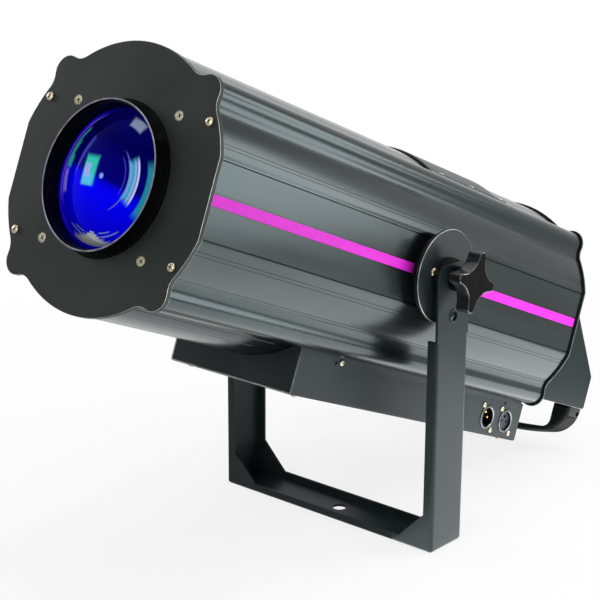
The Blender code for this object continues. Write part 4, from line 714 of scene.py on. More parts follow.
def screw_head(name, radius, height, dome, drive_radius, drive_depth, sunk=0.0):
    """A head that stands on its origin along +Z, with a cross recess. sunk is its cone's height,
    and all are in mm."""
    bm = bmesh.new()
    recess_shade = bm.verts.layers.float.new("recess")

    def ring(size, level, arm=0.0):
        points = []
        for step in range(HEAD_STEPS):
            angle = math.tau * step / HEAD_STEPS
            slant = abs(math.remainder(angle, math.pi / 2))
            reach = min(size, arm / max(math.sin(slant), 0.01)) if arm else size
            points.append(bm.verts.new((*polar(reach * mm, angle), level * mm)))
        return points

    flank = FLANK_SHARE * height
    rings = [ring(CONE_TIP_SHARE * radius, -sunk)] if sunk else []
    rings += [ring(radius, 0), ring(radius, flank)]
    for share in (0.25, 0.5, 0.75):
        rings.append(ring(radius * math.sqrt(1 - share ** 2 * DOME_FALL), flank + dome * share))
    for reach, depth, width in RECESS:
        rings.append(ring(reach * drive_radius, flank + dome - depth * drive_depth,
                          width * ARM_SHARE * drive_radius))
    for lower, upper in zip(rings, rings[1:]):
        band(bm, lower, upper)
    bm.faces.new(rings[0])
    bm.faces.new(rings[-1])
    # The recess's two deepest rings are marked, and the material paints shade there.
    for vertex in rings[-1] + rings[-2]:
        vertex[recess_shade] = 1.0
    return as_mesh(name, bm)


driven, given = node_tree("driven_screws", Head="Object", Seed="Int", Material="Material")
head = add_node(driven, "GeometryNodeObjectInfo", {"Object": given["Head"], "As Instance": True},
                transform_space="ORIGINAL")
aim = add_node(driven, "GeometryNodeInputNamedAttribute", {"Name": "aim"}, data_type="FLOAT_VECTOR")
stand = add_node(driven, "FunctionNodeAlignRotationToVector", {"Vector": aim}, axis="Z")
chance = add_node(driven, "FunctionNodeRandomValue",
                  {2: 0.0, 3: math.tau / 4, "Seed": given["Seed"]}, data_type="FLOAT")
twist = add_node(driven, "FunctionNodeAxisAngleToRotation",
                 {"Axis": (0, 0, 1), "Angle": chance.outputs[1]})
seated = add_node(driven, "FunctionNodeRotateRotation", {"Rotation": stand, "Rotate By": twist},
                  rotation_space="LOCAL")
screws = add_node(driven, "GeometryNodeInstanceOnPoints",
                  {"Points": given["Geometry"], "Instance": head.outputs["Geometry"],
                   "Rotation": seated})
close_tree(driven, screws, given["Material"])


def drive_screws(name, head, places, *nodes, slot="screw_steel"):
    """One screw at each place, a spot and the way it faces, both in the barrel's frame. Its seed is
    the length of its name."""
    start = bpy.data.meshes.new(name + "_places")
    start.from_pydata([barrel @ Vector(spot) for spot, _ in places], [], [])
    facing = start.attributes.new("aim", "FLOAT_VECTOR", "POINT")
    for value, (_, way) in zip(facing.data, places):
        value.vector = barrel.to_3x3() @ Vector(way)
    sample = add_object(name + "_sample", head)
    made = grown(name, start, driven, {"Head": sample, "Seed": len(name), "Material": zinc})
    bpy.data.objects.remove(sample)
    mount(name, made, [zinc], slot, *nodes, spot=Matrix(), sharp=30)


zinc, shader, spot = mottled("passivated_zinc_steel", {"Metallic": 1.0}, 3 * mm, "#8f8468",
                             "#b8b09a", (0.24, 0.38))
# Shade painted into the recess, so that the cross shows dark from a step away.
clean = shader.inputs["Base Color"].links[0].from_socket
recess_shade = add_node(zinc.node_tree, "ShaderNodeAttribute", attribute_name="recess").outputs["Fac"]
feed(shader, {"Base Color": add_node(zinc.node_tree, "ShaderNodeMix",
                                     {0: recess_shade, 6: clean, 7: linear("#0b0a08")},
                                     data_type="RGBA").outputs[2]})
FORWARD = (0, -1, 0)
PAN_SEAT = -0.2 * mm
SUNK_SEAT = 0.3 * mm
pan_head = screw_head("pan_head", 3.6, 2.3, 1.2, 2.1, 1.4)
sunk_head = screw_head("sunk_head", 3.6, 0.2, 0.1, 2.2, 1.4, 2.1)
for name, stem, kind, seat, corner in (
        ("plate_pan_screws", "plate_screw_", pan_head, PAN_SEAT, OUTER_SCREWS),
        ("lens_flange_screws", "lens_screw_", sunk_head, SUNK_SEAT, INNER_SCREWS)):
    drive_screws(name, kind, [((x, seat, z), FORWARD) for x, z in corners_of(*corner)],
                 *[stem + str(number) for number in range(1, 5)])


# --- Lens tube and its ring ---
# A turned aluminium nose that narrows forwards, blackened and polished, with its lip left bare.
# A black bevelled ring inside it holds the lens.

def turned(bm, profile, axis="y", steps=128, centre=(0, 0), looks=()):
    """A closed profile of (radius, along) points, turned about an axis; looks gives each band's."""
    rings = []
    for radius, along in profile:
        if radius == 0:
            rings.append([bm.verts.new(place_across(*centre, along, axis))] * steps)
        else:
            rings.append([bm.verts.new(place_across(*point, along, axis))
                          for point in circle(radius, steps, centre)])
    for index, ring in enumerate(rings):
        band(bm, ring, rings[(index + 1) % len(rings)], looks[index] if looks else 0)


gloss_black = mottled("blackened_polished_aluminium", {"Specular IOR Level": 0.05}, 20 * mm,
                      "#030304", "#060607", (0.14, 0.22))[0]
bare_lip = bare_edge("bare_turned_lip", "#5c5b68", "#7c7b8a")
RIM_RADIUS = 59.5 * mm
BORE_RADIUS = 58.1 * mm
LIP = 0.35 * mm
TAPER_END = (TUBE_RADIUS - 0.4 * mm, -2.4 * mm)
COLLAR_START = -1.6 * mm
FLANGE_RADIUS = 86.0 * mm
FLANGE_THICKNESS = 3.0 * mm
LENS_SEAT_Y = 7.1 * mm
LENS_SEAT_DEPTH = 2.5 * mm
LENS_SEAT_REACH = 53.9 * mm
tube_low, tube_high = span("lens_tube")
nose = tube_low.y
flange_front = plate_high.y + SEAT_GAP
flange_back = flange_front + FLANGE_THICKNESS
seat_back = LENS_SEAT_Y + LENS_SEAT_DEPTH
profile = [(BORE_RADIUS + LIP, nose), (RIM_RADIUS - LIP, nose), (RIM_RADIUS, nose + LIP), TAPER_END,
           (TUBE_RADIUS, COLLAR_START), (TUBE_RADIUS, flange_front), (FLANGE_RADIUS, flange_front),
           (FLANGE_RADIUS, flange_back), (TUBE_RADIUS, flange_back), (TUBE_RADIUS, tube_high.y),
           (BORE_RADIUS, tube_high.y), (BORE_RADIUS, seat_back), (LENS_SEAT_REACH, seat_back),
           (LENS_SEAT_REACH, LENS_SEAT_Y), (BORE_RADIUS, LENS_SEAT_Y), (BORE_RADIUS, nose + LIP)]
bm = bmesh.new()
turned(bm, profile, looks=[1, 1] + [0] * 13 + [1])
mount("lens_nose", bm, [gloss_black, bare_lip], "tube_black", "lens_tube")

RING_OPENING = 56.0 * mm
RING_FIT = 0.2 * mm
RING_LAND = 2.6 * mm
RING_CHAMFER = 1.0 * mm
RING_FACE = 0.7 * mm
RING_BREAK = 0.1 * mm
ring_low, ring_high = span("lens_ring")
outer = BORE_RADIUS - RING_FIT
profile = [(RING_OPENING, ring_high.y - RING_LAND),
           (RING_OPENING + EDGE, ring_high.y - RING_LAND - RING_CHAMFER),
           (outer - RING_FACE - EDGE, ring_low.y + RING_BREAK), (outer - RING_FACE, ring_low.y),
           (outer, ring_low.y), (outer, ring_high.y), (RING_OPENING + RING_FIT, ring_high.y)]
bm = bmesh.new()
turned(bm, profile)
mount("bevelled_lens_ring", bm, [gloss_black], "ring_black", "lens_ring")


# --- Front lens ---
# A polished plano-convex crown-glass lens, 113 mm across. Its coating turns back only blue light.
# Its colour is a painted reflection, navy above and vivid blue below, with painted cyan and violet
# reflections of the room.

LENS_RADIUS = 56.7 * mm
LENS_CROWN = 10.8 * mm
LENS_EDGE = 4.0 * mm
LENS_STEPS = 32
lens_back = span("front_lens")[1].y
sphere = (LENS_RADIUS ** 2 + LENS_CROWN ** 2) / (2 * LENS_CROWN)
profile = []
for step in range(LENS_STEPS + 1):
    angle = math.asin(LENS_RADIUS / sphere) * (1 - step / LENS_STEPS)
    profile.append((sphere * math.sin(angle) if angle else 0,
                    lens_back - LENS_EDGE - (sphere * math.cos(angle) - sphere + LENS_CROWN)))
bm = bmesh.new()
turned(bm, profile + [(0, lens_back), (LENS_RADIUS, lens_back)])
coated, shader, spot = start_look(
    "blue_coated_glass_painted_reflections", {"Metallic": 0.25, "Roughness": 0.04, "Specular IOR Level": 0.0})
tree = coated.node_tree
lens_axis = Matrix.Rotation(-rest_tilt, 4, "X") @ barrel.translation
lens_at = add_node(tree, "ShaderNodeMapping", {"Vector": spot, "Location": -lens_axis})
parts = add_node(tree, "ShaderNodeSeparateXYZ", {0: lens_at}).outputs
flat = add_node(tree, "ShaderNodeVectorMath", {0: lens_at, 1: (1, 0, 1)}, operation="MULTIPLY")
reach = add_node(tree, "ShaderNodeVectorMath", {0: flat}, operation="LENGTH").outputs["Value"]
around = add_node(tree, "ShaderNodeMath", {0: parts["Z"], 1: parts["X"]}, operation="ARCTAN2")
# Painted reflection: navy above and vivid blue below a line that leans across the lens.
lean = add_node(tree, "ShaderNodeMath", {0: parts["X"], 1: 0.2, 2: parts["Z"]},
                operation="MULTIPLY_ADD")
height = add_node(tree, "ShaderNodeMapRange",
                  {"Value": lean, "From Min": -LENS_RADIUS, "From Max": LENS_RADIUS})
tones = add_node(tree, "ShaderNodeValToRGB", {0: height})
tones.color_ramp.elements[0].color = linear("#0700b4")
tones.color_ramp.elements[1].color = linear("#0c0878")
for position, shade in ((0.18, "#0400e0"), (0.4, "#0200ff"), (0.455, "#0400e6"),
                        (0.5, "#030078"), (0.78, "#010052")):
    tones.color_ramp.elements.new(position).color = linear(shade)
colour = tones
# Each painted reflection of the room: its colour, then its place and half size in mm and degrees
# about the lens's axis, or in mm across and up. It is full to a core share of its half size, given
# below, and fades out.
PAINTED_REFLECTION_CORE = 0.6
ROUND = (reach, around, math.radians(1))
SQUARE = (parts["X"], parts["Z"], mm)
PAINTED_REFLECTIONS = ((ROUND, "#2a10ff", 53.4, 1.8, 176, 76), (ROUND, "#8a66ff", 51.4, 0.9, 160, 52),
          (ROUND, "#4a2cff", 48.8, 0.9, 172, 50), (ROUND, "#2aae9a", 47.4, 1.4, 142, 12),
          (ROUND, "#22ad92", 46.2, 2.8, 157, 12), (ROUND, "#35b6b0", 45.0, 4.2, 170, 8),
          (ROUND, "#8f7cf6", 45.6, 3.2, 190, 14), (SQUARE, "#34c8b6", -14.7, 9.0, 3.2, 13.4),
          (SQUARE, "#5cc2f0", -15.2, 7.4, -4.6, 5.4), (SQUARE, "#9fb0f4", -17.6, 4.6, 2.6, 6.4),
          (ROUND, "#7fa0ff", 0.0, 2.7, 0, 400), (ROUND, "#6263b8", 27.6, 0.7, -4, 62),
          (ROUND, "#4038b8", 23.5, 0.6, 8, 44), (ROUND, "#1fb2d2", 31.2, 5.2, 1, 36),
          (ROUND, "#9d8ee0", 28.4, 0.9, 1, 35), (ROUND, "#b49ae8", 32.4, 1.0, 1, 35),
          (ROUND, "#dccdf6", 35.3, 0.9, 1, 35), (ROUND, "#2692ae", 46.0, 4.4, -6, 33),
          (ROUND, "#8fa2c4", 47.0, 4.6, 68, 11), (ROUND, "#8d929c", 51.2, 1.9, -92, 26),
          (ROUND, "#a4a8ae", 49.2, 2.0, -92, 19), (ROUND, "#b4b7bb", 47.2, 1.9, -92, 13),
          (ROUND, "#b4b7bb", 45.4, 1.7, -91, 8), (ROUND, "#a4a8ae", 43.6, 1.6, -91, 4),
          (ROUND, "#6f78c8", 47.0, 0.7, -112, 14), (ROUND, "#6f78c8", 46.0, 0.7, -68, 14),
          (ROUND, "#6f78c8", 44.4, 0.6, -110, 9), (ROUND, "#6f78c8", 43.2, 0.6, -74, 9))
# Each painted reflection is mixed into the lens's colour.
for (first, second, unit), shade, *places in PAINTED_REFLECTIONS:
    middle, half, other_middle, other_half = places
    masks = {}
    for key, value, offset, limit in ((0, first, middle * mm, half * mm),
                                      (1, second, other_middle * unit, other_half * unit)):
        away = add_node(tree, "ShaderNodeMath", {0: value, 1: offset}, operation="SUBTRACT")
        wrapped = add_node(tree, "ShaderNodeMath", {0: away, 1: math.pi, 2: -math.pi},
                           operation="WRAP")
        size = add_node(tree, "ShaderNodeMath", {0: wrapped}, operation="ABSOLUTE")
        masks[key] = add_node(tree, "ShaderNodeMapRange",
                              {"Value": size, "From Min": PAINTED_REFLECTION_CORE * limit, "From Max": limit,
                               "To Min": 1.0, "To Max": 0.0}, interpolation_type="SMOOTHSTEP")
    share = add_node(tree, "ShaderNodeMath", masks, operation="MINIMUM")
    colour = add_node(tree, "ShaderNodeMix", {0: share, 6: colour, 7: linear(shade)},
                      data_type="RGBA").outputs[2]
feed(shader, {"Base Color": colour})
mount("coated_front_lens", bm, [coated], "coated_glass", "front_lens", sharp=60)


# --- Top hatch ---
# A thin curved cover with flat shoulders, three screws along each, over the opening in the top of
# the housing. It is powder coated to match.

HATCH_RADIUS = 108.6 * mm
HATCH_HALF_WIDTH = 67.5 * mm
HATCH_SHOULDER = 91.5 * mm
HATCH_CORNER = 0.5 * mm
HATCH_RIM = 0.1 * mm
HATCH_SCREW_X = 63.0 * mm
HATCH_SCREW_MARGIN = 6.0 * mm
HATCH_SCREW_SEAT = 0.05 * mm
hatch_low, hatch_high = span("top_hatch")
over = arc((0, 0), HATCH_RADIUS, math.pi / 2, math.asin(HATCH_SHOULDER / HATCH_RADIUS), 24)
under = [(x, z) for x, z in barrel_quarter(HOUSING_INSET - SEAT_GAP, 2)
         if z > LOBE[1] and x < HATCH_HALF_WIDTH]
half = over[1:] + [(HATCH_HALF_WIDTH - HATCH_CORNER, HATCH_SHOULDER),
                   (HATCH_HALF_WIDTH, HATCH_SHOULDER - HATCH_CORNER),
                   (HATCH_HALF_WIDTH, under[0][1] + HATCH_RIM)] + under[:-1]
outline = [over[0]] + half + [under[-1]] + [(-x, z) for x, z in reversed(half)]
bm = bmesh.new()
cut_sheet(bm, outline, hatch_low.y, hatch_high.y, "y", HATCH_CORNER)
hatch_paint = powder_coat("powder_coated_hatch", "#33393b", "#3b4244")
mount("curved_top_hatch", bm, [hatch_paint], "housing_anodised_hatch", "top_hatch")
small_head = screw_head("small_head", 2.7, 1.7, 1.0, 1.6, 1.0)
hatch_middle = (hatch_low.y + hatch_high.y) / 2
hatch_reach = (hatch_high.y - hatch_low.y) / 2 - HATCH_SCREW_MARGIN
UPWARD = (0, 0, 1)
drive_screws("hatch_screws", small_head,
             [((sign * HATCH_SCREW_X, hatch_middle + step * hatch_reach,
                HATCH_SHOULDER - HATCH_SCREW_SEAT), UPWARD)
              for sign in (1, -1) for step in (-1, 0, 1)])


# --- Electronics box ---
# A tray folded from 1.5 mm steel, with a separate wall let in at each end and its upper edges cut
# to the barrel's underside. Powder coated, with its sheared edges bare, and held by screws.

BOX_SHEET = 1.5 * mm
BOX_BEND = 2.4 * mm
BOX_SEAM = 0.2 * mm
WALL_SETBACK = 0.3 * mm
WALL_EDGE = 0.1 * mm
PANEL_OVERHANG = 1.9 * mm
SEAT_INSET = HOUSING_INSET - SEAT_GAP
SOCKET_RADIUS = 11.8 * mm
SOCKETS_AT = {"in": (499.4 * mm, -111.0 * mm), "out": (533.8 * mm, -111.0 * mm)}
INLET_AT = (520.0 * mm, -109.5 * mm)
INLET_CUT = (27.8 * mm, 20.2 * mm)
SWITCH_AT = (470.0 * mm, -109.5 * mm)
SWITCH_CUT = (20.2 * mm, 13.6 * mm)
BOX_SCREW = (249.5 * mm, -93.0 * mm)
BOTTOM_SCREW_X = 60.0 * mm
BOTTOM_SCREWS_Y = (210.0 * mm, 545.0 * mm)
SPARE_HOLE = 1.5 * mm
SPARE_HOLES = ((242.0 * mm, -94.2 * mm), (526.0 * mm, -93.6 * mm))


def rectangle(width, height, centre, corner=0.0):
    """A rectangle about its centre, with round corners if asked for."""
    a, b = width / 2 - corner, height / 2 - corner
    points = []
    for turn, (x, z) in enumerate(corners_of(a, b)):
        middle = (centre[0] + x, centre[1] + z)
        start = turn * math.pi / 2
        points += arc(middle, corner, start, start + math.pi / 2, 5) if corner else [middle]
    return points


def belly(half, inset):
    """The barrel's underside between x = half and -half."""
    path = [(x, z) for x, z in barrel_quarter(inset, 2) if z > LOBE[1]]
    for first, second in zip(path, path[1:]):
        if first[0] >= half > second[0]:
            share = (first[0] - half) / (first[0] - second[0])
            start = (half, first[1] + share * (second[1] - first[1]))
    inner = [start] + [(x, z) for x, z in path if x < half]
    return [(x, -z) for x, z in inner] + [(-x, -z) for x, z in reversed(inner[:-1])]


def tray_path(inset):
    """Down one wall, round the bends and up the other, this far inside the tray."""
    half, bend = BOX_HALF - inset, BOX_BEND - inset
    side = [(half, belly(half, SEAT_INSET)[0][1])]
    side += arc((half - bend, box_low.z + inset + bend), bend, 0, -math.pi / 2, 6)
    return side + [(-x, z) for x, z in reversed(side)]


box_low, box_high = span("electronics_box")
BOX_HALF = box_high.x
folded = prisms((tray_path(0) + tray_path(BOX_SHEET)[::-1], box_low.y, box_high.y, "y"))
right_side = (BOX_HALF - 2 * BOX_SHEET, BOX_HALF + BOX_SHEET, "x")
left_side = (-BOX_HALF - BOX_SHEET, -BOX_HALF + 2 * BOX_SHEET, "x")
wall_cuts = [(circle(SOCKET_RADIUS + SEAT_GAP, 64, spot), *right_side)
             for spot in SOCKETS_AT.values()]
wall_cuts += [(circle(SPARE_HOLE, 20, spot), *side) for spot, side in
              zip(SPARE_HOLES + SPARE_HOLES[:1], (right_side, right_side, left_side))]
wall_cuts += [(rectangle(*INLET_CUT, INLET_AT), *left_side),
              (rectangle(*SWITCH_CUT, SWITCH_AT), *left_side),
              (barrel_outline(-PANEL_OVERHANG - SEAT_GAP), housing_high.y,
               box_high.y + BOX_SHEET, "y")]
box_paint = powder_coat("powder_coated_box", "#23292b", "#2b3133", (0.40, 0.52), 0.06)
sheared = bare_edge("sheared_steel_edge", "#565c5a", "#868c89")
tray = machined("folded_electronics_box", folded, prisms(*wall_cuts), EDGE)
# Its front edge and the walls' upper edges were sheared after coating and are bare.
forward, upward = (barrel.to_3x3() @ Vector(way) for way in (FORWARD, UPWARD))
for face in tray.polygons:
    above = (face.center - barrel.translation).dot(upward) > box_low.z + 5 * BOX_BEND
    if face.normal.dot(forward) > 0.9 or (above and face.normal.dot(upward) > 0.6):
        face.material_index = 1
mount("folded_electronics_box", tray, [box_paint, sheared], "box_paint", "electronics_box")
within = BOX_HALF - BOX_SHEET - BOX_SEAM
wall_foot = [(sign * within, box_low.z + BOX_SHEET + BOX_SEAM) for sign in (-1, 1)]
bm = bmesh.new()
for inset, start, end in (
        (SEAT_INSET, box_low.y + WALL_SETBACK, box_low.y + BOX_SHEET),
        (-PANEL_OVERHANG - 2 * SEAT_GAP, box_high.y - BOX_SHEET, box_high.y)):
    cut_sheet(bm, wall_foot + belly(within, inset), start, end, "y", WALL_EDGE)
mount("box_end_walls", bm, [box_paint], "box_paint")
drive_screws("box_screws", small_head,
             [((sign * BOX_HALF, *BOX_SCREW), (sign, 0, 0)) for sign in (1, -1)]
             + [((sign * BOTTOM_SCREW_X, y, box_low.z), (0, 0, -1))
                for sign in (1, -1) for y in BOTTOM_SCREWS_Y])


# --- Signal sockets ---
# Two round three-pole connectors in the right wall: black-chromed die-cast shells with worn bright
# edges, one with gilt pins in a nylon cup, one with a grey nylon insert that has three holes.

CUP_RADIUS = 9.4 * mm
CUP_DEPTH = 13.0 * mm
MOULDED_EDGE = 0.5 * mm
INSERT_RECESS = 2.5 * mm
INSERT_FIT = 0.1 * mm
PIN_CIRCLE = 4.7 * mm
PIN_RADIUS = 1.2 * mm
PIN_LENGTH = 9.5 * mm
PIN_TIP = 0.6 * mm
PIN_HOLE = 1.5 * mm
SOCKET_SCREWS = ((489.0, -99.6), (510.0, -122.4), (522.6, -99.6), (544.6, -122.0))
nickel = metal("nickel_plated_zinc", 5 * mm, "#6d6f71", "#8f9193", (0.22, 0.34))
black_chrome = metal("black_chromed_zinc", 5 * mm, "#26282b", "#383b3e", (0.22, 0.34))
gilt = metal("gilt_contact", 2 * mm, "#c89b48", "#e2bb66", (0.18, 0.28))


def moulded(name, low, high, roughness=(0.34, 0.46), relief=(0.5 * mm, 0.01 * mm), gloss=0.08):
    """Moulded plastic: an even colour with a fine spark-eroded texture. It is drawn 0.4 mm wide or
    more, and polished faces have a long soft wave instead."""
    return mottled(name, {"Specular IOR Level": gloss}, 15 * mm, low, high, roughness,
                   relief=relief)[0]


black_nylon = moulded("black_moulded_nylon", "#0b0b0c", "#121213")
grey_nylon = moulded("grey_moulded_nylon", "#24232b", "#2e2d37")
socket_low, socket_high = span("xlr_in")
shell_back, face_x = socket_low.x, socket_high.x
cup_floor = face_x - CUP_DEPTH
for label, middle in SOCKETS_AT.items():
    bm = bmesh.new()
    turned(bm, [(SOCKET_RADIUS, shell_back), (SOCKET_RADIUS, face_x - EDGE),
                (SOCKET_RADIUS - EDGE, face_x), (CUP_RADIUS + MOULDED_EDGE, face_x),
                (CUP_RADIUS, face_x - MOULDED_EDGE), (CUP_RADIUS, cup_floor),
                (0, cup_floor), (0, shell_back)], "x", 64, middle, [4, 0, 4, 0, 1, 1, 1, 4])
    pins = [polar(PIN_CIRCLE, turn, middle) for turn in (0, math.pi / 2, math.pi)]
    if label == "in":
        for pin in pins:
            cut_sheet(bm, circle(PIN_RADIUS, 20, pin), cup_floor, cup_floor + PIN_LENGTH, "x",
                      (0, PIN_TIP), (), 2, 2)
    else:
        cut_sheet(bm, circle(CUP_RADIUS - INSERT_FIT, 64, middle), cup_floor + SEAT_GAP,
                  face_x - INSERT_RECESS, "x", (0, MOULDED_EDGE),
                  [circle(PIN_HOLE, 20, pin) for pin in pins], 3, 3)
    mount("signal_socket_" + label, bm, [nickel, black_nylon, gilt, grey_nylon, black_chrome],
          "socket_metal", "xlr_" + label)
tiny_head = screw_head("tiny_head", 2.8, 1.5, 0.9, 1.6, 0.9)
drive_screws("socket_screws", tiny_head,
             [((BOX_HALF, y * mm, z * mm), (1, 0, 0)) for y, z in SOCKET_SCREWS])


# --- Power inlet and switch ---
# A panel-mounted appliance inlet and a rocker switch in the left wall, both of black nylon. The
# inlet has three nickel blades; the rocker turns in a bezel clipped to the wall.

INLET_CAVITY = (24.0 * mm, 16.0 * mm, INLET_AT, 2.5 * mm)
INLET_FLANGE = (50.0 * mm, 23.0 * mm, INLET_AT, 4.0 * mm)
INLET_BODY = (27.2 * mm, 19.6 * mm, INLET_AT, 2.0 * mm)
FLANGE_EDGES = (0.8 * mm, 0.2 * mm)
CAVITY_DEPTH = 15.0 * mm
BLADE = (2.0 * mm, 4.0 * mm)
BLADE_RECESS = 1.5 * mm
BLADE_SPACING = 7.0 * mm
BLADE_TIP = 0.4 * mm
EARTH_RISE = 3.0 * mm
INLET_SCREW_REACH = 20.0 * mm
CLEAR = 0.02 * mm
inlet_low, inlet_high = span("power_inlet")
flange_face = inlet_low.x
flange_back = -BOX_HALF - SEAT_GAP
cavity_end = flange_face + CAVITY_DEPTH
cavity, flange, body = (rectangle(*sizes) for sizes in (INLET_CAVITY, INLET_FLANGE, INLET_BODY))
bm = bmesh.new()
cut_sheet(bm, flange, flange_face, flange_back, "x", FLANGE_EDGES, [cavity])
cut_sheet(bm, body, flange_back + CLEAR, cavity_end, "x", 0, [cavity])
cut_sheet(bm, body, cavity_end + CLEAR, inlet_high.x, "x", (0, MOULDED_EDGE))
for step in (-1, 0, 1):
    middle = (INLET_AT[0] + step * BLADE_SPACING, INLET_AT[1] + (0 if step else EARTH_RISE))
    cut_sheet(bm, rectangle(*BLADE, middle), flange_face + BLADE_RECESS, cavity_end, "x",
              (BLADE_TIP, 0), (), 1, 1)
mount("appliance_inlet", bm, [black_nylon, nickel], "inlet_plastic", "power_inlet")
drive_screws("inlet_screws", tiny_head,
             [((flange_face, INLET_AT[0] + sign * INLET_SCREW_REACH, INLET_AT[1]), (-1, 0, 0))
              for sign in (1, -1)])

BEZEL = (24.4 * mm, 17.6 * mm, SWITCH_AT, 2.0 * mm)
BEZEL_OPENING = (19.9 * mm, 13.6 * mm, SWITCH_AT, 0.6 * mm)
BEZEL_HEIGHT = 1.2 * mm
bm = bmesh.new()
cut_sheet(bm, rectangle(*BEZEL), -BOX_HALF - BEZEL_HEIGHT, -BOX_HALF, "x", (MOULDED_EDGE, 0),
          [rectangle(*BEZEL_OPENING)])
mount("switch_bezel", bm, [black_nylon], "switch_plastic")

ROCK = math.radians(8.0)
ROCKER_HALF = 9.5 * mm
ROCKER_WIDTH = 13.0 * mm
ROCKER_FACE = -2.0 * mm
ROCKER_BACK = 4.0 * mm
DISH_STEPS = 6
DISH_CURVE = 1.4
bow = ROCKER_HALF * math.tan(ROCK)
rocker_side = [(ROCKER_FACE - bow * (abs(step) / DISH_STEPS) ** DISH_CURVE,
                ROCKER_HALF * step / DISH_STEPS) for step in range(-DISH_STEPS, DISH_STEPS + 1)]
rocker_side += [(ROCKER_BACK, ROCKER_HALF), (ROCKER_BACK + bow, 0), (ROCKER_BACK, -ROCKER_HALF)]
bm = bmesh.new()
cut_sheet(bm, rocker_side, -ROCKER_WIDTH / 2, ROCKER_WIDTH / 2, "z", MOULDED_EDGE)
rocked = Matrix.Translation((-BOX_HALF, *SWITCH_AT)) @ Matrix.Rotation(ROCK, 4, "Z")
mount("rocker_cap", bm, [black_nylon], "switch_plastic", "power_switch", body="rocker",
      spot=barrel @ rocked)


# --- Rear panel and its ears ---
# A 4 mm steel sheet over the barrel's end, with a slotted fan grille, a display window and four
# button holes. Its rim is drawn 1.2 mm thick, with the housing closed up round it. Two ears are
# folded back from it, and a tab under each takes the grip.

EAR_X = 88.8 * mm
EAR_SHEET = 2.5 * mm
EAR_TOP = 41.8 * mm
EAR_CORNER = -45.5 * mm
EAR_CORNER_RADIUS = 4.0 * mm
EAR_BOTTOM = -80.5 * mm
EAR_CHAMFER = 2.0 * mm
TAB_WIDTH = 22.0 * mm
TAB_LENGTH = 30.0 * mm
FAN_Z = 40.0 * mm
GRILLE_RADIUS = 41.0 * mm
GRILLE_SLOTS = 9
SLOT_HEIGHT = 6.0 * mm
SLOT_ROUNDING = SLOT_HEIGHT / 2.01
DISPLAY_AT = (-20.0 * mm, -48.0 * mm)
DISPLAY_CUT = (56.0 * mm, 28.0 * mm, DISPLAY_AT, 1.5 * mm)
BUTTON_HOLE = 5.1 * mm
BUTTONS_AT = [(x * mm, z * mm) for z in (-40.0, -56.0) for x in (27.0, 45.0)]
panel_face = panel_low.y + PANEL_SHEET
rim_front = panel_face - PANEL_RIM
ear_back = panel_high.y

holes = [rectangle(*DISPLAY_CUT)]
holes += [circle(BUTTON_HOLE, 32, spot) for spot in BUTTONS_AT]
for slot in range(GRILLE_SLOTS):
    height = (slot - (GRILLE_SLOTS - 1) / 2) * 2 * GRILLE_RADIUS / GRILLE_SLOTS
    width = 2 * math.sqrt(GRILLE_RADIUS ** 2 - height ** 2) - SLOT_HEIGHT
    holes.append(rectangle(width, SLOT_HEIGHT, (0, FAN_Z + height), SLOT_ROUNDING))
bm = bmesh.new()
cut_sheet(bm, barrel_outline(HOUSING_INSET + HOUSING_WALL + SEAT_GAP), panel_low.y,
          rim_front - CLEAR, "y", (EDGE, 0), holes)
cut_sheet(bm, barrel_outline(-PANEL_OVERHANG / 2), rim_front, panel_face, "y",
          (EDGE, SHEET_EDGE), holes, 1)
ear = [(panel_face, EAR_BOTTOM), (ear_back - EAR_CHAMFER, EAR_BOTTOM),
       (ear_back, EAR_BOTTOM + EAR_CHAMFER)]
ear += arc((ear_back - EAR_CORNER_RADIUS, EAR_CORNER - EAR_CORNER_RADIUS / 2), EAR_CORNER_RADIUS,
           0, math.radians(45), 4)
ear += [(panel_face, EAR_TOP)]
tab_middle = ear_back - EAR_CHAMFER - TAB_LENGTH / 2
inner = EAR_X - EAR_SHEET
for sign in (1, -1):
    cut_sheet(bm, ear, *sorted((sign * inner, sign * EAR_X)), "x", SHEET_EDGE)
    tab = rectangle(TAB_WIDTH, TAB_LENGTH, (sign * (inner - TAB_WIDTH / 2), tab_middle))
    cut_sheet(bm, tab, EAR_BOTTOM, EAR_BOTTOM + EAR_SHEET, "z")
panel_paint = powder_coat("powder_coated_rear_sheet", "#131a1b", "#192123", (0.36, 0.48), 0.06)
mount("rear_panel_with_ears", bm, [panel_paint, sheared], "panel_paint", "rear_panel")
drive_screws("rear_panel_screws", pan_head,
             [((x, panel_face, z), (0, 1, 0)) for x, z in corners_of(*LOBE)])


# --- Rear grip ---
# A bridge-shaped grip moulded in black polyamide, screwed under the ears, with a softer ribbed
# strip let into its outer side.

GRIP = (88.2 * mm, 28.0 * mm, 274.6 * mm)
GRIP_OPENING = (68.2 * mm, 9.0 * mm, 450.0 * mm)
GRIP_OPENING_BOTTOM = -111.5 * mm
GRIP_EDGE = 3.2 * mm
GRIP_CUT_EDGE = 0.2 * mm
GRIP_HOLE = 2.6 * mm
GRIP_HOLE_AT = (640.0 * mm, -87.0 * mm)
GRIP_HOLE_DEPTH = 6.0 * mm
INLAY_TOP = -92.0 * mm
INLAY_THICKNESS = 1.7 * mm
INLAY_MARGIN = 4.5 * mm
INLAY_LIFT = 0.05 * mm
grip_low, grip_high = span("rear_grip")


def grip_outline(sizes, top, bottom, depth=0.0):
    """A leg, a round corner and a slightly crowned bar, from right to left. The sizes are the half
    width and the radii of the corner and the crown; depth draws all of them in."""
    half_width, corner, crown = (size - depth for size in sizes)
    crown_z = bottom + depth + crown
    corner_x = half_width - corner
    corner_z = crown_z - math.sqrt((crown - corner) ** 2 - corner_x ** 2)
    touch = heading((0, crown_z), (corner_x, corner_z))
    points = [(half_width, top)]
    points += arc((corner_x, corner_z), corner, 0, touch, 14)
    points += arc((0, crown_z), crown, touch, -math.pi / 2, 10)[1:]
    return points + [(-x, z) for x, z in points[-2::-1]]


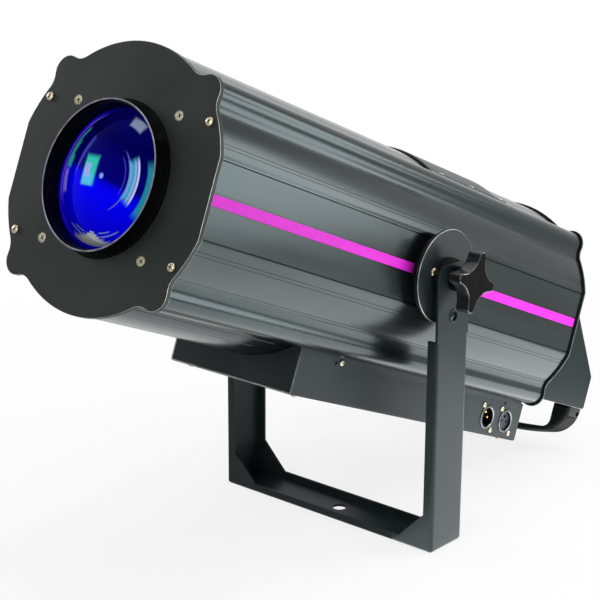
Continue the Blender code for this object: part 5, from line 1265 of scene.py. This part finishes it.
def grip_strip(outer, inner):
    """The inlay's section between two depths under the grip's surface."""
    paths = [[point for point in grip_outline(GRIP, INLAY_TOP, grip_low.z, depth)
              if point[1] <= INLAY_TOP + WELD] for depth in (outer, inner)]
    return paths[0] + paths[1][::-1]


bm = bmesh.new()
opening = grip_outline(GRIP_OPENING, grip_high.z, GRIP_OPENING_BOTTOM)
outside = grip_outline(GRIP, grip_high.z, grip_low.z)
cut_sheet(bm, outside + opening[::-1], grip_low.y, grip_high.y, "y", GRIP_EDGE)
inlay_low, inlay_high = grip_low.y + INLAY_MARGIN, grip_high.y - INLAY_MARGIN
cuts = [(grip_strip(-mm, INLAY_THICKNESS + SEAT_GAP), inlay_low - SEAT_GAP,
         inlay_high + SEAT_GAP, "y")]
cuts += [(circle(GRIP_HOLE, 24, GRIP_HOLE_AT),
          *sorted((sign * (GRIP[0] - GRIP_HOLE_DEPTH), sign * (GRIP[0] + mm))), "x")
         for sign in (1, -1)]
polyamide = moulded("black_moulded_polyamide", "#0d0e0f", "#151617", (0.38, 0.5),
                    (0.8 * mm, 0.02 * mm))
grip = machined("bridge_grip", as_mesh("bridge_grip", bm), prisms(*cuts), GRIP_CUT_EDGE)
mount("bridge_grip", grip, [polyamide], "grip_plastic", "rear_grip")
bm = bmesh.new()
cut_sheet(bm, grip_strip(INLAY_LIFT, INLAY_THICKNESS), inlay_low, inlay_high, "y", MOULDED_EDGE)
rubber = moulded("soft_black_elastomer", "#0a0a0a", "#101010", (0.62, 0.75),
                 (0.6 * mm, 0.03 * mm))
mount("grip_inlay_strip", bm, [rubber], "inlay_rubber", "grip_inlay")


# --- Display and menu buttons ---
# A dark acrylic window in a thin frame, clipped behind the panel with its circuit board, and four
# domed keys that slide in their holes.

WINDOW = (55.4 * mm, 27.4 * mm, DISPLAY_AT, 1.3 * mm)
WINDOW_OPENING = (50.4 * mm, 22.4 * mm, DISPLAY_AT, 1.0 * mm)
FRAME_HEIGHT = 1.0 * mm
BOARD = (116.0 * mm, 42.0 * mm, (4.0 * mm, -48.0 * mm), 1.0 * mm)
BOARD_THICKNESS = 1.6 * mm
BOARD_TO_WINDOW = 2.0 * mm
acrylic = mottled("smoked_acrylic", {"Specular IOR Level": 0.2}, 60 * mm, "#07090b", "#0b0e11",
                  (0.1, 0.16))[0]
board_green = mottled("solder_masked_board", {"Coat Weight": 0.4}, 4 * mm, "#0d2a1a", "#123622",
                      (0.35, 0.5))[0]
display_low, display_high = span("display")
window_front = display_high.y - FRAME_HEIGHT
bm = bmesh.new()
cut_sheet(bm, rectangle(*WINDOW), window_front, display_high.y, "y", (0, EDGE),
          [rectangle(*WINDOW_OPENING)], 1, 1)
cut_sheet(bm, rectangle(*WINDOW), display_low.y + BOARD_TO_WINDOW, window_front - CLEAR, "y", 0)
cut_sheet(bm, rectangle(*BOARD), display_low.y, display_low.y + BOARD_THICKNESS, "y", 0, (), 2, 2)
mount("display_window", bm, [acrylic, black_nylon, board_green], "display_window", "display")

KEY_RADIUS = 4.8 * mm
KEY_FLANGE = 6.0 * mm
KEY_FLANGE_HEIGHT = 1.2 * mm
KEY_EDGE = 0.9 * mm
KEY_DISH = 2.0 * mm
KEY_DISH_DEPTH = 0.3 * mm
for number, middle in enumerate(BUTTONS_AT, 1):
    low, high = span("menu_button_" + str(number))
    seat = low.y + KEY_FLANGE_HEIGHT
    shoulder = high.y - KEY_EDGE
    profile = [(0, low.y), (KEY_FLANGE, low.y), (KEY_FLANGE, seat), (KEY_RADIUS, seat)]
    profile += arc((KEY_RADIUS - KEY_EDGE, shoulder), KEY_EDGE, 0, math.pi / 2, 4)
    profile += [(KEY_DISH, high.y - KEY_DISH_DEPTH / 2), (0, high.y - KEY_DISH_DEPTH)]
    bm = bmesh.new()
    turned(bm, profile, "y", 40, middle)
    mount("menu_key_" + str(number), bm, [black_nylon], "button_plastic",
          "menu_button_" + str(number), body="button_" + str(number))


# --- Tilt pivots ---
# On each side a black spacer and a grey steel disc are screwed to the facet, and a fibre washer
# lies between the disc and the yoke's arm. The disc's cut edge is bright.

AXLE_CLEAR = 5.2 * mm
DISC_SCREWS = 20.7 * mm
disc_paint = powder_coat("powder_coated_disc", "#12191c", "#192124", (0.34, 0.44))
fibre = moulded("black_fibre_washer", "#0c0c0c", "#141414", (0.6, 0.75), (0.4 * mm, 0.02 * mm))
dome_head = screw_head("dome_head", 3.6, 2.3, 1.3, 2.0, 1.4)
for side, sign in SIDES:
    for stem, slot, looks, edge in (
            ("pivot_spacer_", "spacer_black", [black_nylon], EDGE),
            ("pivot_disc_", "disc_grey", [disc_paint, milled], 0.35 * mm),
            ("washer_", "washer_black", [fibre], 0.2 * mm)):
        low, high = span(stem + side)
        bm = bmesh.new()
        cut_sheet(bm, circle((high.z - low.z) / 2, 128, AXLE), low.x, high.x, "x", edge,
                  [circle(AXLE_CLEAR, 40, AXLE)], len(looks) - 1)
        mount(stem + "turned_" + side, bm, looks, slot, stem + side)
    face = sign * max(abs(low.x) for low in span("pivot_disc_" + side))
    drive_screws("disc_screws_" + side, dome_head,
                 [((face, AXLE[0] + way * DISC_SCREWS, AXLE[1]), (sign, 0, 0)) for way in (1, -1)],
                 *["disc_screw_" + side + end for end in ("_1", "_2")], slot="bright_steel")


# --- Tilt knobs ---
# Four-lobed star knobs moulded in black phenolic over a steel insert, screwed onto the pivot studs
# to lock the tilt. Their faces are matt from the mould, and their flanks and edges are polished.

KNOB_THICKNESS = 13.0 * mm
KNOB_HUB = 11.0 * mm
KNOB_TIP_CENTRE = 22.2 * mm
KNOB_TIP = 4.6 * mm
KNOB_VALLEY = 14.5 * mm
KNOB_EDGE = 0.8 * mm
KNOB_HUB_EDGE = 0.6 * mm
KNOB_TURN = math.radians(2.0)
STUD_CLEAR = 4.2 * mm


def knob_outline():
    """Four lobes with round tips and hollow flanks that touch them."""
    chord = KNOB_TIP_CENTRE * math.cos(math.pi / 4)
    offset = KNOB_VALLEY - KNOB_TIP
    hollow_centre = (KNOB_TIP_CENTRE ** 2 - offset ** 2) / (2 * (chord - offset))
    hollow_radius = hollow_centre - KNOB_VALLEY
    points = []
    for lobe in range(4):
        turn = lobe * math.pi / 2
        tip, following = (polar(KNOB_TIP_CENTRE, turn + way) for way in (0, math.pi / 2))
        before, after = (polar(hollow_centre, turn + way) for way in (-math.pi / 4, math.pi / 4))
        points += arc(tip, KNOB_TIP, heading(tip, before), turn, 7)[:-1]
        points += arc(tip, KNOB_TIP, turn, heading(tip, after), 7)
        points += arc(after, hollow_radius, heading(after, tip), heading(after, following),
                      10)[1:-1]
    return points


phenolic = moulded("glossy_black_phenolic", "#040405", "#080809", (0.12, 0.2),
                   (4 * mm, 0.01 * mm), 0.04)
polished = moulded("polished_phenolic_flank", "#0a0b0c", "#101213", (0.1, 0.16),
                   (4 * mm, 0.01 * mm), 0.6)
on_stud = barrel @ Matrix.Translation((0, *AXLE)) @ Matrix.Rotation(KNOB_TURN, 4, "X")
for side, sign in SIDES:
    outer, inner = [corner.x for corner in span("tilt_knob_" + side)][::-sign]
    head_back = outer - sign * KNOB_THICKNESS
    bm = bmesh.new()
    cut_sheet(bm, knob_outline(), *sorted((head_back, outer)), "x", KNOB_EDGE, (), 1)
    for face in bm.faces:
        face.normal_update()
        if abs(face.normal.x) < 0.1:
            face.material_index = 1
    cut_sheet(bm, circle(KNOB_HUB, 64), *sorted((inner, head_back)), "x",
              (KNOB_HUB_EDGE, 0)[::sign], [circle(STUD_CLEAR, 32)])
    mount("star_knob_" + side, bm, [phenolic, polished], "knob_black", "tilt_knob_" + side,
          body="knob_" + side, spot=on_stud)


# --- Light engine, colour wheel, iris and focus train ---
# What the barrel holds: an aluminium heat sink with the LED module, a condenser in its holder, a
# bulkhead with the iris, the colour wheel and its motor, and the focus carriage on steel rods.

ground_steel = metal("ground_steel", 2 * mm, "#9b9da0", "#b6b8ba", (0.18, 0.3), (1, 0.1, 1))
clear_glass, shader, spot = start_look(
    "polished_crown_glass",
    {"Transmission Weight": 1.0, "IOR": 1.52, "Base Color": (0.95, 0.98, 0.97, 1)})
tree = clear_glass.node_tree
smudge = add_node(tree, "ShaderNodeTexNoise", {"Vector": spot, "Scale": 1 / (12 * mm)})
feed(shader, {"Roughness": add_node(tree, "ShaderNodeMapRange",
                                    {"Value": smudge, "To Min": 0.01, "To Max": 0.05})})
raw_aluminium = bare_edge("extruded_bare_aluminium", "#a0a3a5", "#bcbfc0")
blackened = powder_coat("black_anodised_carriage", "#121314", "#1a1c1d", (0.4, 0.55))
cage = metal("zinc_plated_cage", 9 * mm, "#8d9296", "#b0b4b5", (0.3, 0.5))
for look, nodes in (
        (ground_steel, ("guide_rod_right", "guide_rod_left", "pivot_stud_right",
                        "pivot_stud_left")),
        (clear_glass, ("focus_lens", "condenser_lens")),
        (raw_aluminium, ("heat_sink", "bulkhead", "colour_wheel")),
        (blackened, ("focus_carriage", "iris_ring")),
        (cage, ("power_supply", "led_module", "wheel_motor")),
        (black_nylon, ("fan_frame", "fan_rotor"))):
    for node in nodes:
        for slot in frame["nodes"][node].material_slots:
            slot.material = look
